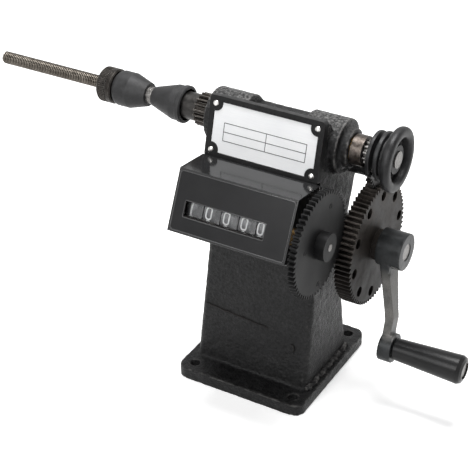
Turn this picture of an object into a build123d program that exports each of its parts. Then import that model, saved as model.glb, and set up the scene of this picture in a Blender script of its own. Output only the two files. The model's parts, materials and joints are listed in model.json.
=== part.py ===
"""Hand-cranked wire coil winding machine with a five-digit turns counter.

Millimetres, +Z up. The origin is the middle of the base plate's underside. X runs along the
spindle towards the belt pulley, Y runs from the counter at the front to the back, and every
shaft is parallel to X. Angles about a shaft are in degrees from +Y towards +Z.
"""
from build123d import *
import math
import os

os.makedirs("parts", exist_ok=True)

# ---------------------------------------------------------------- driving dimensions
# Fits
RUN = 0.04              # radial clearance of a shaft that turns in its bore
GAP = 0.3               # space between pieces that move past each other

# Base plate and column
BASE_X = 86.0
BASE_Y = 90.0
BASE_T = 8.0
BASE_CORNER_R = 6.7
BOLT_DX = 68.2
BOLT_DY = 73.8
BOLT_HOLE_R = 2.8
COLUMN_CORNER_R = 4.0
# Height, half width in X, front Y and back Y of each section of the column
COLUMN_SECTIONS = (
    (BASE_T, 38.2, -28.5, 27.0),
    (60.0, 36.7, -20.7, 20.0),
    (80.0, 36.1, -17.8, 23.5),
    (98.0, 35.6, -15.0, 27.2),
    (128.0, 36.2, -10.5, 36.0),
)
CORE_WALL = 7.0         # casting wall round the hollow core
CORE_TOP = 74.0         # height of the hollow core

# Spindle line
SPINDLE_Y = 10.2
SPINDLE_Z = 156.3
SPINDLE_R = 5.0
BOSS_R = 16.4
BOSS_LENGTH = 24.0
LEFT_BOSS_X = -44.5     # outer face of the left bearing boss
RIGHT_BOSS_X = 41.0     # shoulder of the right bearing boss
NOSE_R = 11.6
NOSE_LENGTH = 4.6
BUSH_WALL = 2.5
BUSH_LENGTH = 20.0

# Head
HEAD_HALF_X = 36.2
SADDLE_RISE = 7.7       # top of the head between the bosses, above the spindle
HEAD_TOP_Y = 14.0       # from the spindle back to the head's sloping back
HEAD_BACK_RISE = 24.0   # height of the head's back edge above the column

# Front cover of the head, leaning back
COVER_W = 72.6
COVER_H = 36.5
COVER_T = 5.0
COVER_LEAN = 14.4
COVER_MID_Y = -13.95
COVER_MID_Z = 161.5
COVER_CORNER_R = 2.0
COVER_RIM = 3.3
COVER_RECESS = 1.2
LUG_IN_X = 4.0          # screw lugs in from the cover's edges
LUG_IN_Y = 4.65
LUG_R = 4.3
COVER_SCREW_R = 1.2
COVER_SCREW_HEAD_R = 1.7
COVER_SCREW_HEAD_T = 0.9
COVER_SCREW_L = 11.0
PLATE_T = 0.8

# Gears: module and tooth counts
MODULE = 1.0
CRANK_TEETH = 72
IDLER_TEETH = 24
SPINDLE_TEETH = 12
COUNTER_TEETH = 60
HUB_TEETH = 18
MESH_PLAY = 0.1         # added to a pair's centre distance, in modules
TOOTH_THIN = 0.12       # taken off a tooth's thickness for backlash, in modules

# Crank line
CRANK_Y = 16.0
CRANK_Z = 94.3
CRANK_SHAFT_R = 5.0
CRANK_BOSS_R = 13.0
CRANK_BOSS_X = 48.6     # face of the right crank bearing boss
CRANK_BOSS_L = 18.6
CRANK_LEFT_BOSS_R = 10.5
CRANK_LEFT_BOSS_X = -37.6
CRANK_GEAR_T = 9.8
CRANK_GEAR_STEP = 1.0   # gear hub stands this far out on the left
CRANK_GEAR_HUB_R = 9.4
CRANK_GEAR_HOLES = 10
CRANK_HOLE_PCR = 30.1
CRANK_HOLE_R = 3.2
CRANK_HOLE_PHASE = 7.2
RING_T = 1.2
RING_GROOVE = 0.6
RING_R = 7.4

# Crank handle
CRANK_HUB_L = 15.5
CRANK_HUB_R = 11.3
CRANK_HUB_STEP = 3.3    # from the gear to the arm's hub
CRANK_THROW = 58.5
CRANK_REST = 252.5      # the way the arm points at rest
ARM_SET = 3.2           # arm's left face from the hub's left face, near the hub
ARM_JOG = 8.2           # sideways step that takes the arm clear of the pulley
ARM_T = 5.2
ARM_STATIONS = ((0.0, 18.8), (18.0, 13.0), (36.0, 9.3), (CRANK_THROW, 8.7))
JOG_START = 9.0
JOG_END = 42.0
GRIP_BOSS_R = 9.0
GRIP_BOSS_L = 8.0
CRANK_SCREW_R = 2.5
CRANK_SCREW_ANGLE = 225.0
GRIP_L = 43.5
GRIP_R_NEAR = 6.6
GRIP_R_FAR = 8.7
GRIP_END_R = 3.0
GRIP_PIN_R = 3.0
GRIP_HEAD_R = 4.4
GRIP_HEAD_T = 2.6
GRIP_SEAT = 3.6         # depth of the pocket that takes the pin's head

# Idler between the crank gear and the spindle
IDLER_T = 3.4
IDLER_BORE_R = 3.0
IDLER_BOSS_R = 7.2
IDLER_HEAD_R = 5.0
IDLER_HEAD_T = 0.6
IDLER_THREAD_R = 2.5
IDLER_THREAD_L = 12.0

# Right end of the spindle
COLLAR_R = 9.0
COLLAR_L = 6.9
SPINDLE_TEETH_L = 4.0
SPINDLE_ROOT_R = 5.05
FLANGE_A_R = 14.0
FLANGE_A_L = 2.2
GROOVE_L = 2.6
GROOVE_FLOOR_L = 1.4
GROOVE_ROOT_R = 9.5
FLANGE_B_R = 14.5
FLANGE_B_L = 2.6
NECK_R = 12.0
NECK_L = 2.2
CUP_R = 18.9
CUP_FLARE_L = 3.2
CUP_RIM_L = 3.4
CUP_ROUND = 1.4         # rounding of the thick rim
CUP_MOUTH_R = 13.0
CUP_FLOOR_R = 12.0
CUP_DEPTH = 5.8
CUP_HUB_R = 8.5
CUP_HUB_SET = 2.6       # inner hub stands this far inside the mouth
SPINDLE_PROUD = 0.8     # spindle stands out past the inner hub
PULLEY_SCREW_R = 2.3
PULLEY_SCREW_DEEP = 1.6
PULLEY_SCREW_ANGLE = 215.0

# Left end of the spindle
HUB_GEAR_L = 10.4
HUB_R = 8.2
HUB_L = 10.6
ROD_SEAT = 8.0          # length of rod inside the hub
ROD_R = 4.0
ROD_L = 143.5
THREAD_PITCH = 1.25
THREAD_DEPTH = 0.45
ROD_CHAMFER = 1.6
CONE_BUSH_WALL = 1.2
CONE_GAP = 4.0          # length of bright bush between the two cones
INNER_CONE_SMALL_R = 5.9
INNER_CONE_TAPER_L = 15.3
INNER_CONE_R = 10.7
INNER_CONE_BODY_L = 4.0
INNER_CONE_LIP_R = 11.4
INNER_CONE_LIP_L = 3.9
INNER_CONE_RECESS_R = 9.6
INNER_CONE_RECESS = 3.4
INNER_CONE_LAP = 1.6    # length of the hub that stands inside the inner cone's recess
OUTER_CONE_SMALL_R = 7.2
OUTER_CONE_TAPER_L = 11.4
OUTER_CONE_R = 10.8
OUTER_CONE_BODY_L = 7.8
OUTER_CONE_SHOULDER = 2.8
OUTER_CONE_BACK_R = 9.0
WASHER_T = 1.6
WASHER_R = 7.4
NUT_L = 10.2
NUT_R = 10.8
NUT_KNURL_L = 6.2
NUT_GROOVE_L = 0.7
NUT_GROOVE_D = 0.9
NUT_RECESS_R = 8.4
NUT_RECESS = 1.3
KNURL_TEETH = 60
KNURL_DEPTH = 0.45

# Counter: its face leans back, and its wheel axle lies square behind the window
FACE_TOP_Y = -44.0
FACE_TOP_Z = 148.5
FACE_H = 36.5
FACE_LEAN = 25.5
CASE_X0 = -36.2
CASE_X1 = 38.8
CASE_WALL = 1.6
CASE_FRONT_T = 3.0
CASE_TOP_DROP = 3.2     # fall of the case's top towards the back
CASE_RIM = 1.3
PANEL_SET = 0.15
PANEL_T = 1.2
LEDGE = 2.0
PAD_Y = -16.0           # machined pad on the column that carries the case
PAD_HALF_X = 33.0
PAD_Z0 = 98.5
PAD_Z1 = 139.5
WINDOW_X0 = -28.3
WINDOW_X1 = 22.9
WINDOW_H = 9.4
LENS_T = 0.8
LENS_LAP = 1.5
INPUT_DEPTH = 11.27     # counter input shaft behind the face
WHEEL_CLEAR = 0.43      # space between the number wheels and the case's floor
COUNTER_GEAR_T = 4.0
COUNTER_LAP = 2.0       # width of tooth that the counter gear and crank gear share
COUNTER_HUB_R = 8.1
COUNTER_HUB_L = 5.9
INPUT_SHAFT_R = 2.0
INPUT_MODULE = 0.5
INPUT_TEETH = 10
UNITS_TEETH = 20
INPUT_TEETH_T = 3.0
INPUT_BUSH_R = 5.0
DIGITS = 5
WHEEL_PITCH = 11.35
WHEEL_T = 7.4
FIRST_WHEEL_X = -26.6   # middle of the left-hand wheel
WHEEL_R = 12.7
WHEEL_AXLE_R = 2.0
CARRY_MODULE = 1.1
CARRY_TEETH = 8
RING_TEETH = 20
RING_GEAR_T = 2.0
LOCK_T = 1.2
LOCK_R = 9.2
CARRY_ANGLE = 35.0      # place of the carry shaft round the wheel axle
CARRY_SHAFT_R = 1.5
CASE_SCREW_R = 2.0
CASE_SCREW_HEAD_R = 3.4
CASE_SCREW_HEAD_T = 2.2
CASE_SCREW_L = 12.0
CASE_SCREW_DX = 50.0
CASE_SCREW_DZ = 32.0


# ---------------------------------------------------------------- place helpers
def polar(y, z, radius, angle):
    """Point at a radius and angle from the shaft at (y, z)."""
    a = math.radians(angle)
    return y + radius * math.cos(a), z + radius * math.sin(a)


def bearing(y0, z0, y1, z1):
    """Angle of the second shaft as seen from the first."""
    return math.degrees(math.atan2(z1 - z0, y1 - y0))


def mesh_distance(teeth_a, teeth_b, module=MODULE):
    return ((teeth_a + teeth_b) / 2 + MESH_PLAY) * module


def behind(y0, z0, r0, y1, z1, r1):
    """Point at r0 from the lower shaft and r1 from the upper one, on the back side."""
    d = math.hypot(y1 - y0, z1 - z0)
    along = (r0 * r0 - r1 * r1 + d * d) / (2 * d)
    off = math.sqrt(max(r0 * r0 - along * along, 0.0))
    uy, uz = (y1 - y0) / d, (z1 - z0) / d
    return y0 + along * uy + off * uz, z0 + along * uz - off * uy


def cover_point(up, depth):
    """(Y, Z) of a point up the cover from its middle and some way behind its front."""
    a = math.radians(COVER_LEAN)
    return (
        COVER_MID_Y + up * math.sin(a) + depth * math.cos(a),
        COVER_MID_Z + up * math.cos(a) - depth * math.sin(a),
    )


def face_point(down, depth):
    """(Y, Z) of a point down the counter's face and some way behind it."""
    a = math.radians(FACE_LEAN)
    return (
        FACE_TOP_Y - down * math.sin(a) + depth * math.cos(a),
        FACE_TOP_Z - down * math.cos(a) - depth * math.sin(a),
    )


# ---------------------------------------------------------------- places worked out
# Stations along the right end of the spindle and the crank
COLLAR_X = RIGHT_BOSS_X + NOSE_LENGTH + GAP
SPINDLE_TEETH_X = COLLAR_X + COLLAR_L + 0.2
IDLER_X = SPINDLE_TEETH_X + GAP
PULLEY_X = SPINDLE_TEETH_X + SPINDLE_TEETH_L + 0.8
PULLEY_END = (
    PULLEY_X + FLANGE_A_L + GROOVE_L + FLANGE_B_L + NECK_L + CUP_FLARE_L + CUP_RIM_L
)
SPINDLE_END = PULLEY_END - CUP_HUB_SET + SPINDLE_PROUD
CRANK_GEAR_X = CRANK_BOSS_X + GAP + CRANK_GEAR_STEP
CRANK_HUB_X = CRANK_GEAR_X + CRANK_GEAR_T + CRANK_HUB_STEP
ARM_FAR_X = CRANK_HUB_X + ARM_SET + ARM_JOG
GRIP_BOSS_X = ARM_FAR_X
GRIP_X = GRIP_BOSS_X + GRIP_BOSS_L + GAP
RING_X = CRANK_LEFT_BOSS_X - GAP - RING_T

# Stations along the left end of the spindle
HUB_GEAR_X = LEFT_BOSS_X - GAP - HUB_GEAR_L
HUB_X = HUB_GEAR_X - HUB_L
ROD_X1 = HUB_X + ROD_SEAT
ROD_X0 = ROD_X1 - ROD_L
INNER_CONE_X1 = HUB_X + INNER_CONE_LAP
INNER_CONE_X0 = INNER_CONE_X1 - INNER_CONE_LIP_L - INNER_CONE_BODY_L - INNER_CONE_TAPER_L
OUTER_CONE_X1 = INNER_CONE_X0 - CONE_GAP
OUTER_CONE_X0 = OUTER_CONE_X1 - OUTER_CONE_TAPER_L - OUTER_CONE_BODY_L - OUTER_CONE_SHOULDER
CONE_MEET_X = (INNER_CONE_X0 + OUTER_CONE_X1) / 2
WASHER_X = OUTER_CONE_X0 - WASHER_T
NUT_X1 = WASHER_X + NUT_RECESS
NUT_X0 = NUT_X1 - NUT_L

# Counter
INPUT_DOWN = FACE_H - CASE_WALL - WHEEL_R - WHEEL_CLEAR
COUNTER_ANGLE = bearing(CRANK_Y, CRANK_Z, *face_point(INPUT_DOWN, INPUT_DEPTH))
INPUT_Y, INPUT_Z = polar(
    CRANK_Y, CRANK_Z, mesh_distance(CRANK_TEETH, COUNTER_TEETH), COUNTER_ANGLE
)
AXLE_Y, AXLE_Z = polar(
    INPUT_Y, INPUT_Z, mesh_distance(INPUT_TEETH, UNITS_TEETH, INPUT_MODULE), -FACE_LEAN
)
CARRY_Y, CARRY_Z = polar(
    AXLE_Y, AXLE_Z, mesh_distance(RING_TEETH, CARRY_TEETH, CARRY_MODULE), CARRY_ANGLE
)
COUNTER_GEAR_X = CRANK_GEAR_X + COUNTER_LAP - COUNTER_GEAR_T
COUNTER_HUB_END = COUNTER_GEAR_X + COUNTER_GEAR_T + COUNTER_HUB_L
UNITS_GEAR_X = FIRST_WHEEL_X + (DIGITS - 1) * WHEEL_PITCH + WHEEL_T / 2 + 2.0
CASE_STEP_Z = cover_point(-COVER_H / 2, COVER_T)[1] - GAP
WINDOW_DOWN = INPUT_DOWN + 0.2

# Idler and grip
IDLER_Y, IDLER_Z = behind(
    CRANK_Y, CRANK_Z, mesh_distance(CRANK_TEETH, IDLER_TEETH),
    SPINDLE_Y, SPINDLE_Z, mesh_distance(SPINDLE_TEETH, IDLER_TEETH),
)
GRIP_Y, GRIP_Z = polar(CRANK_Y, CRANK_Z, CRANK_THROW, CRANK_REST)

# (Y, Z) of every shaft
SPINDLE = (SPINDLE_Y, SPINDLE_Z)
CRANK = (CRANK_Y, CRANK_Z)
IDLER = (IDLER_Y, IDLER_Z)
INPUT = (INPUT_Y, INPUT_Z)
AXLE = (AXLE_Y, AXLE_Z)
CARRY = (CARRY_Y, CARRY_Z)
GRIP = (GRIP_Y, GRIP_Z)


# ---------------------------------------------------------------- shape helpers
def across(x):
    """Plane square to the shafts at x: local x is +Y and local y is +Z."""
    return Plane.YZ.offset(x)


def disc(x0, x1, y, z, radius):
    return extrude(across(x0) * Pos(y, z) * Circle(radius), amount=x1 - x0)


def tube(x0, x1, y, z, outer, inner):
    return disc(x0, x1, y, z, outer) - disc(x0, x1, y, z, inner)


def prism(x0, x1, points):
    """Straight run along X of an outline of (Y, Z) points."""
    return extrude(across(x0) * make_face(Polyline(*points, close=True)), amount=x1 - x0)


def turned(points, y, z):
    """Body turned about the shaft line at (y, z) from (X, radius) points."""
    plane = Plane(origin=(0, y, z), x_dir=(1, 0, 0), z_dir=(0, -1, 0))
    face = plane * make_face(Polyline(*points, close=True))
    return revolve(face, axis=Axis((0, y, z), (1, 0, 0)), revolution_arc=360)


def radial_plane(x, y, z, radius, angle):
    """Plane that faces away from a shaft: local x is +X."""
    a = math.radians(angle)
    origin = (x, *polar(y, z, radius, angle))
    return Plane(origin=origin, x_dir=(1, 0, 0), z_dir=(0, math.cos(a), math.sin(a)))


def leaning_plane(point, lean):
    """Plane through a (Y, Z) point that faces forwards and up: local y runs up it."""
    a = math.radians(lean)
    return Plane(origin=(0, *point), x_dir=(1, 0, 0), z_dir=(0, -math.cos(a), math.sin(a)))


def along_y(x, z, y0, y1, radius):
    plane = Plane(origin=(x, y0, z), x_dir=(1, 0, 0), z_dir=(0, 1, 0))
    return extrude(plane * Circle(radius), amount=y1 - y0)


def tooth_outline(teeth, module, phase, tip, root_r, steps):
    """(y, z) points of a spur gear with involute flanks and a tooth centred at the phase."""
    pitch_r = teeth * module / 2
    base_r = pitch_r * math.cos(math.radians(20))
    tip_r = pitch_r + tip * module
    foot_r = root_r or pitch_r - 1.25 * module

    def involute(radius):
        a = math.acos(min(1.0, base_r / radius))
        return math.tan(a) - a

    half = math.pi / (2 * teeth) - TOOTH_THIN * module / (2 * pitch_r) + involute(pitch_r)
    start = max(base_r, foot_r)
    radii = [start + (tip_r - start) * i / steps for i in range(steps + 1)]
    flank = [(r, half - involute(r)) for r in radii]
    if foot_r < start:
        flank.insert(0, (foot_r, flank[0][1]))
    points = []
    for tooth in range(teeth):
        centre = math.radians(phase + 360.0 * tooth / teeth)
        rising = [(r, centre - a) for r, a in flank]
        falling = [(r, centre + a) for r, a in reversed(flank)]
        points += [(r * math.cos(a), r * math.sin(a)) for r, a in rising + falling]
    return points


def gear(x0, x1, y, z, teeth, module, phase, tip=1.0, root_r=None, steps=3):
    outline = tooth_outline(teeth, module, phase, tip, root_r, steps)
    return prism(x0, x1, [(y + dy, z + dz) for dy, dz in outline])


def mating_phase(angle, teeth_a, phase_a, teeth_b):
    """Phase of gear b, at the given angle from gear a, that puts its teeth in a's gaps."""
    return angle + 180 - (phase_a - angle) * teeth_a / teeth_b + 180.0 / teeth_b


def save(node, *solids):
    shape = solids[0] if len(solids) == 1 else Compound(children=list(solids))
    export_step(shape, f"parts/{node}.step")


# ---------------------------------------------------------------- phases of the teeth at rest
IDLER_ANGLE = bearing(*CRANK, *IDLER)
IDLER_PHASE = mating_phase(IDLER_ANGLE, CRANK_TEETH, IDLER_ANGLE, IDLER_TEETH)
SPINDLE_PHASE = mating_phase(bearing(*IDLER, *SPINDLE), IDLER_TEETH, IDLER_PHASE, SPINDLE_TEETH)
COUNTER_PHASE = mating_phase(COUNTER_ANGLE, CRANK_TEETH, IDLER_ANGLE, COUNTER_TEETH)
UNITS_PHASE = mating_phase(-FACE_LEAN, INPUT_TEETH, -FACE_LEAN, UNITS_TEETH)
CARRY_PHASE = mating_phase(CARRY_ANGLE, RING_TEETH, CARRY_ANGLE, CARRY_TEETH)


# ---------------------------------------------------------------- frame
def cover_plane(depth=0.0):
    """Plane of the front cover, some way behind its front."""
    return leaning_plane(cover_point(0, depth), COVER_LEAN)


def lug_places():
    x, y = COVER_W / 2 - LUG_IN_X, COVER_H / 2 - LUG_IN_Y
    return [(sx * x, sy * y) for sx in (-1, 1) for sy in (-1, 1)]


def column_section(section, wall=0.0):
    z, half_x, front, back = section
    shape = RectangleRounded(2 * (half_x - wall), back - front - 2 * wall, COLUMN_CORNER_R)
    return Pos(0, (front + back) / 2, z) * shape


def column_at(height):
    """Section of the column at a height between two of the listed ones."""
    pairs = list(zip(COLUMN_SECTIONS, COLUMN_SECTIONS[1:]))
    low, high = next((p for p in pairs if height <= p[1][0]), pairs[-1])
    t = (height - low[0]) / (high[0] - low[0])
    return tuple(a + t * (b - a) for a, b in zip(low, high))


def bush_spans(x0, x1):
    """Both ends of a bore, where its bushes are pressed in."""
    return (x0, x0 + BUSH_LENGTH), (x1 - BUSH_LENGTH, x1)


SPINDLE_BUSHES = bush_spans(LEFT_BOSS_X, RIGHT_BOSS_X + NOSE_LENGTH)
CRANK_BUSHES = bush_spans(CRANK_LEFT_BOSS_X, CRANK_BOSS_X)


def case_screw_places():
    """(X, Z) of the screws that hold the counter case to its pad."""
    mid_x = (CASE_X0 + CASE_X1) / 2
    mid_z = (PAD_Z0 + PAD_Z1) / 2
    return [
        (mid_x + sx * CASE_SCREW_DX / 2, mid_z + sz * CASE_SCREW_DZ / 2)
        for sx in (-1, 1) for sz in (-1, 1)
    ]


def head_outline():
    z0 = COLUMN_SECTIONS[-1][0]
    front, back = COLUMN_SECTIONS[-1][2:]
    saddle_z = SPINDLE_Z + SADDLE_RISE
    return [
        (front, z0 - 1),
        (front, z0),
        cover_point(-COVER_H / 2, COVER_T),
        cover_point(COVER_H / 2 - 1, COVER_T),
        cover_point(COVER_H / 2 - 2, COVER_T + 4),
        (SPINDLE_Y - 6.5, saddle_z + 1),
        (SPINDLE_Y + HEAD_TOP_Y, saddle_z),
        (SPINDLE_Y + HEAD_TOP_Y + 4, saddle_z - 2),
        (back - 2, z0 + HEAD_BACK_RISE),
        (back, z0 + HEAD_BACK_RISE - 6),
        (back, z0 - 1),
    ]


def body_casting():
    """Base, hollow column, head and bearing bosses in one iron casting."""
    body = extrude(RectangleRounded(BASE_X, BASE_Y, BASE_CORNER_R), amount=BASE_T)
    body += loft([column_section(s) for s in COLUMN_SECTIONS], ruled=True)
    body += prism(-HEAD_HALF_X, HEAD_HALF_X, head_outline())
    pad = [(PAD_Y, PAD_Z0), (PAD_Y, PAD_Z1), (PAD_Y + 10, PAD_Z1), (PAD_Y + 10, PAD_Z0)]
    body += prism(-PAD_HALF_X, PAD_HALF_X, pad)
    body += disc(LEFT_BOSS_X, LEFT_BOSS_X + BOSS_LENGTH, *SPINDLE, BOSS_R)
    body += disc(RIGHT_BOSS_X - BOSS_LENGTH, RIGHT_BOSS_X, *SPINDLE, BOSS_R)
    body += disc(RIGHT_BOSS_X - BOSS_LENGTH, RIGHT_BOSS_X + NOSE_LENGTH, *SPINDLE, NOSE_R)
    body += disc(CRANK_BOSS_X - CRANK_BOSS_L, CRANK_BOSS_X, *CRANK, CRANK_BOSS_R)
    body += disc(CRANK_LEFT_BOSS_X, CRANK_LEFT_BOSS_X + 8, *CRANK, CRANK_LEFT_BOSS_R)
    body += disc(HEAD_HALF_X - 4, IDLER_X - GAP, *IDLER, IDLER_BOSS_R)

    # hollow core, open underneath
    core = [column_at(BASE_T), *COLUMN_SECTIONS[1:2], column_at(CORE_TOP)]
    body -= loft([column_section(s, CORE_WALL) for s in core], ruled=True)
    body -= extrude(column_section(core[0], CORE_WALL), amount=-BASE_T)

    # bores with a bush at each end, and the idler stud's hole
    body -= disc(LEFT_BOSS_X, RIGHT_BOSS_X + NOSE_LENGTH, *SPINDLE, SPINDLE_R + 1)
    body -= disc(CRANK_LEFT_BOSS_X, CRANK_BOSS_X, *CRANK, CRANK_SHAFT_R + 1)
    for x0, x1 in SPINDLE_BUSHES:
        body -= disc(x0, x1, *SPINDLE, SPINDLE_R + BUSH_WALL)
    for x0, x1 in CRANK_BUSHES:
        body -= disc(x0, x1, *CRANK, CRANK_SHAFT_R + BUSH_WALL)
    body -= disc(IDLER_X - GAP - IDLER_THREAD_L, IDLER_X - GAP, *IDLER, IDLER_THREAD_R)

    # base bolts, cover screws and counter screws
    for sx in (-1, 1):
        for sy in (-1, 1):
            place = Pos(sx * BOLT_DX / 2, sy * BOLT_DY / 2)
            body -= extrude(place * Circle(BOLT_HOLE_R), amount=BASE_T)
    for x, y in lug_places():
        hole = cover_plane(COVER_T) * Pos(x, y) * Circle(COVER_SCREW_R)
        body -= extrude(hole, amount=COVER_T - COVER_SCREW_L)
    for x, z in case_screw_places():
        body -= along_y(x, z, PAD_Y, PAD_Y - CASE_WALL + CASE_SCREW_L, CASE_SCREW_R)
    return body


def cover_inside(gap=0.0):
    """Recess of the cover: a rectangle with its corners notched round the lugs."""
    width = COVER_W - 2 * (COVER_RIM + gap)
    height = COVER_H - 2 * (COVER_RIM + gap)
    shape = Rectangle(width, height)
    for x, y in lug_places():
        shape -= Pos(x, y) * Circle(LUG_R + gap)
    return shape


def front_cover():
    outline = RectangleRounded(COVER_W, COVER_H, COVER_CORNER_R)
    body = extrude(cover_plane() * outline, amount=-COVER_T)
    body -= extrude(cover_plane() * cover_inside(), amount=-COVER_RECESS)
    for x, y in lug_places():
        body -= extrude(cover_plane() * Pos(x, y) * Circle(COVER_SCREW_R), amount=-COVER_T)
    return body


def name_plate():
    return extrude(cover_plane(COVER_RECESS) * cover_inside(0.2), amount=PLATE_T)


def cover_screws():
    screws = []
    for x, y in lug_places():
        place = cover_plane() * Pos(x, y)
        shank = extrude(place * Circle(COVER_SCREW_R), amount=-COVER_SCREW_L)
        head = extrude(place * Circle(COVER_SCREW_HEAD_R), amount=COVER_SCREW_HEAD_T)
        screws.append(shank + head)
    return screws


def idler_stud():
    """Shoulder screw that carries the idler."""
    x0 = IDLER_X - GAP
    x1 = IDLER_X + IDLER_T + 0.1
    body = disc(x0 - IDLER_THREAD_L, x0, *IDLER, IDLER_THREAD_R)
    body += disc(x0, x1, *IDLER, IDLER_BORE_R - RUN)
    return body + disc(x1, x1 + IDLER_HEAD_T, *IDLER, IDLER_HEAD_R)


# ---------------------------------------------------------------- spindle
def spindle_shaft():
    """Spindle with its pinion cut in one piece."""
    body = disc(ROD_X1, SPINDLE_END, *SPINDLE, SPINDLE_R)
    return body + gear(
        SPINDLE_TEETH_X, SPINDLE_TEETH_X + SPINDLE_TEETH_L, *SPINDLE,
        SPINDLE_TEETH, MODULE, SPINDLE_PHASE, root_r=SPINDLE_ROOT_R,
    )


def spindle_hub():
    """Hub that joins the threaded rod to the spindle."""
    body = disc(HUB_X, HUB_GEAR_X, *SPINDLE, HUB_R)
    body -= disc(HUB_X, ROD_X1, *SPINDLE, ROD_R)
    return body - disc(ROD_X1, HUB_GEAR_X, *SPINDLE, SPINDLE_R)


def hub_pinion():
    x0, x1 = HUB_GEAR_X, HUB_GEAR_X + HUB_GEAR_L
    return gear(x0, x1, *SPINDLE, HUB_TEETH, MODULE, 0) - disc(x0, x1, *SPINDLE, SPINDLE_R)


def winding_rod():
    """Rod with its thread as rings of one pitch, plain where the cones sit."""
    root = ROD_R - THREAD_DEPTH
    start = ROD_X0 + ROD_CHAMFER
    turns = int((OUTER_CONE_X0 - start) / THREAD_PITCH)
    points = [(ROD_X0, 0), (ROD_X0, ROD_R - ROD_CHAMFER), (start, root)]
    for turn in range(turns):
        x = start + turn * THREAD_PITCH
        points += [(x + THREAD_PITCH / 2, ROD_R), (x + THREAD_PITCH, root)]
    points += [(points[-1][0] + THREAD_DEPTH, ROD_R), (ROD_X1, ROD_R), (ROD_X1, 0)]
    return turned(points, *SPINDLE)


def inner_cone():
    bore = ROD_R + CONE_BUSH_WALL
    taper = INNER_CONE_X0 + INNER_CONE_TAPER_L
    lip = taper + INNER_CONE_BODY_L
    end = INNER_CONE_X1
    return turned([
        (INNER_CONE_X0, bore), (INNER_CONE_X0, INNER_CONE_SMALL_R),
        (taper, INNER_CONE_R), (lip, INNER_CONE_R), (lip + 0.9, INNER_CONE_LIP_R),
        (end - 0.7, INNER_CONE_LIP_R), (end, INNER_CONE_LIP_R - 0.7), (end, INNER_CONE_RECESS_R),
        (end - INNER_CONE_RECESS, INNER_CONE_RECESS_R), (end - INNER_CONE_RECESS, bore),
    ], *SPINDLE)


def inner_cone_bush():
    return tube(CONE_MEET_X, HUB_X, *SPINDLE, ROD_R + CONE_BUSH_WALL, ROD_R)


def outer_cone():
    bore = ROD_R + CONE_BUSH_WALL
    taper = OUTER_CONE_X1 - OUTER_CONE_TAPER_L
    shoulder = OUTER_CONE_X0 + OUTER_CONE_SHOULDER
    return turned([
        (OUTER_CONE_X1, bore), (OUTER_CONE_X1, OUTER_CONE_SMALL_R), (taper, OUTER_CONE_R),
        (shoulder, OUTER_CONE_R), (shoulder - 1.4, OUTER_CONE_R - 0.5),
        (OUTER_CONE_X0, OUTER_CONE_BACK_R), (OUTER_CONE_X0, bore),
    ], *SPINDLE)


def outer_cone_bush():
    outer = ROD_R + CONE_BUSH_WALL
    return tube(OUTER_CONE_X0, CONE_MEET_X - 0.05, *SPINDLE, outer, ROD_R + RUN)


def thrust_washer():
    return tube(WASHER_X, OUTER_CONE_X0, *SPINDLE, WASHER_R, ROD_R + RUN)


def lock_nut():
    """Round knurled nut with a plain ring, hollowed for the washer."""
    knurl_end = NUT_X0 + NUT_KNURL_L
    ring = knurl_end + NUT_GROOVE_L
    outline = []
    for i in range(KNURL_TEETH):
        outline.append(polar(*SPINDLE, NUT_R, 360.0 * i / KNURL_TEETH))
        outline.append(polar(*SPINDLE, NUT_R - KNURL_DEPTH, 360.0 * (i + 0.5) / KNURL_TEETH))
    body = prism(NUT_X0, knurl_end, outline)
    body &= turned([
        (NUT_X0, 0), (NUT_X0, NUT_R - 1.0), (NUT_X0 + 1.0, NUT_R), (knurl_end, NUT_R),
        (knurl_end, 0),
    ], *SPINDLE)
    body += turned([
        (knurl_end, 0), (knurl_end, NUT_R - NUT_GROOVE_D), (ring, NUT_R - NUT_GROOVE_D),
        (ring, NUT_R), (NUT_X1 - 0.8, NUT_R), (NUT_X1, NUT_R - 0.8), (NUT_X1, 0),
    ], *SPINDLE)
    body -= disc(WASHER_X - 0.05, NUT_X1, *SPINDLE, NUT_RECESS_R)
    return body - disc(NUT_X0, NUT_X1, *SPINDLE, ROD_R + RUN)


def spindle_collar():
    return tube(COLLAR_X, COLLAR_X + COLLAR_L, *SPINDLE, COLLAR_R, SPINDLE_R)


def pulley_screw_plane():
    x = PULLEY_X + FLANGE_A_L + GROOVE_L / 2
    return radial_plane(x, *SPINDLE, SPINDLE_R - 0.5, PULLEY_SCREW_ANGLE)


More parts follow.
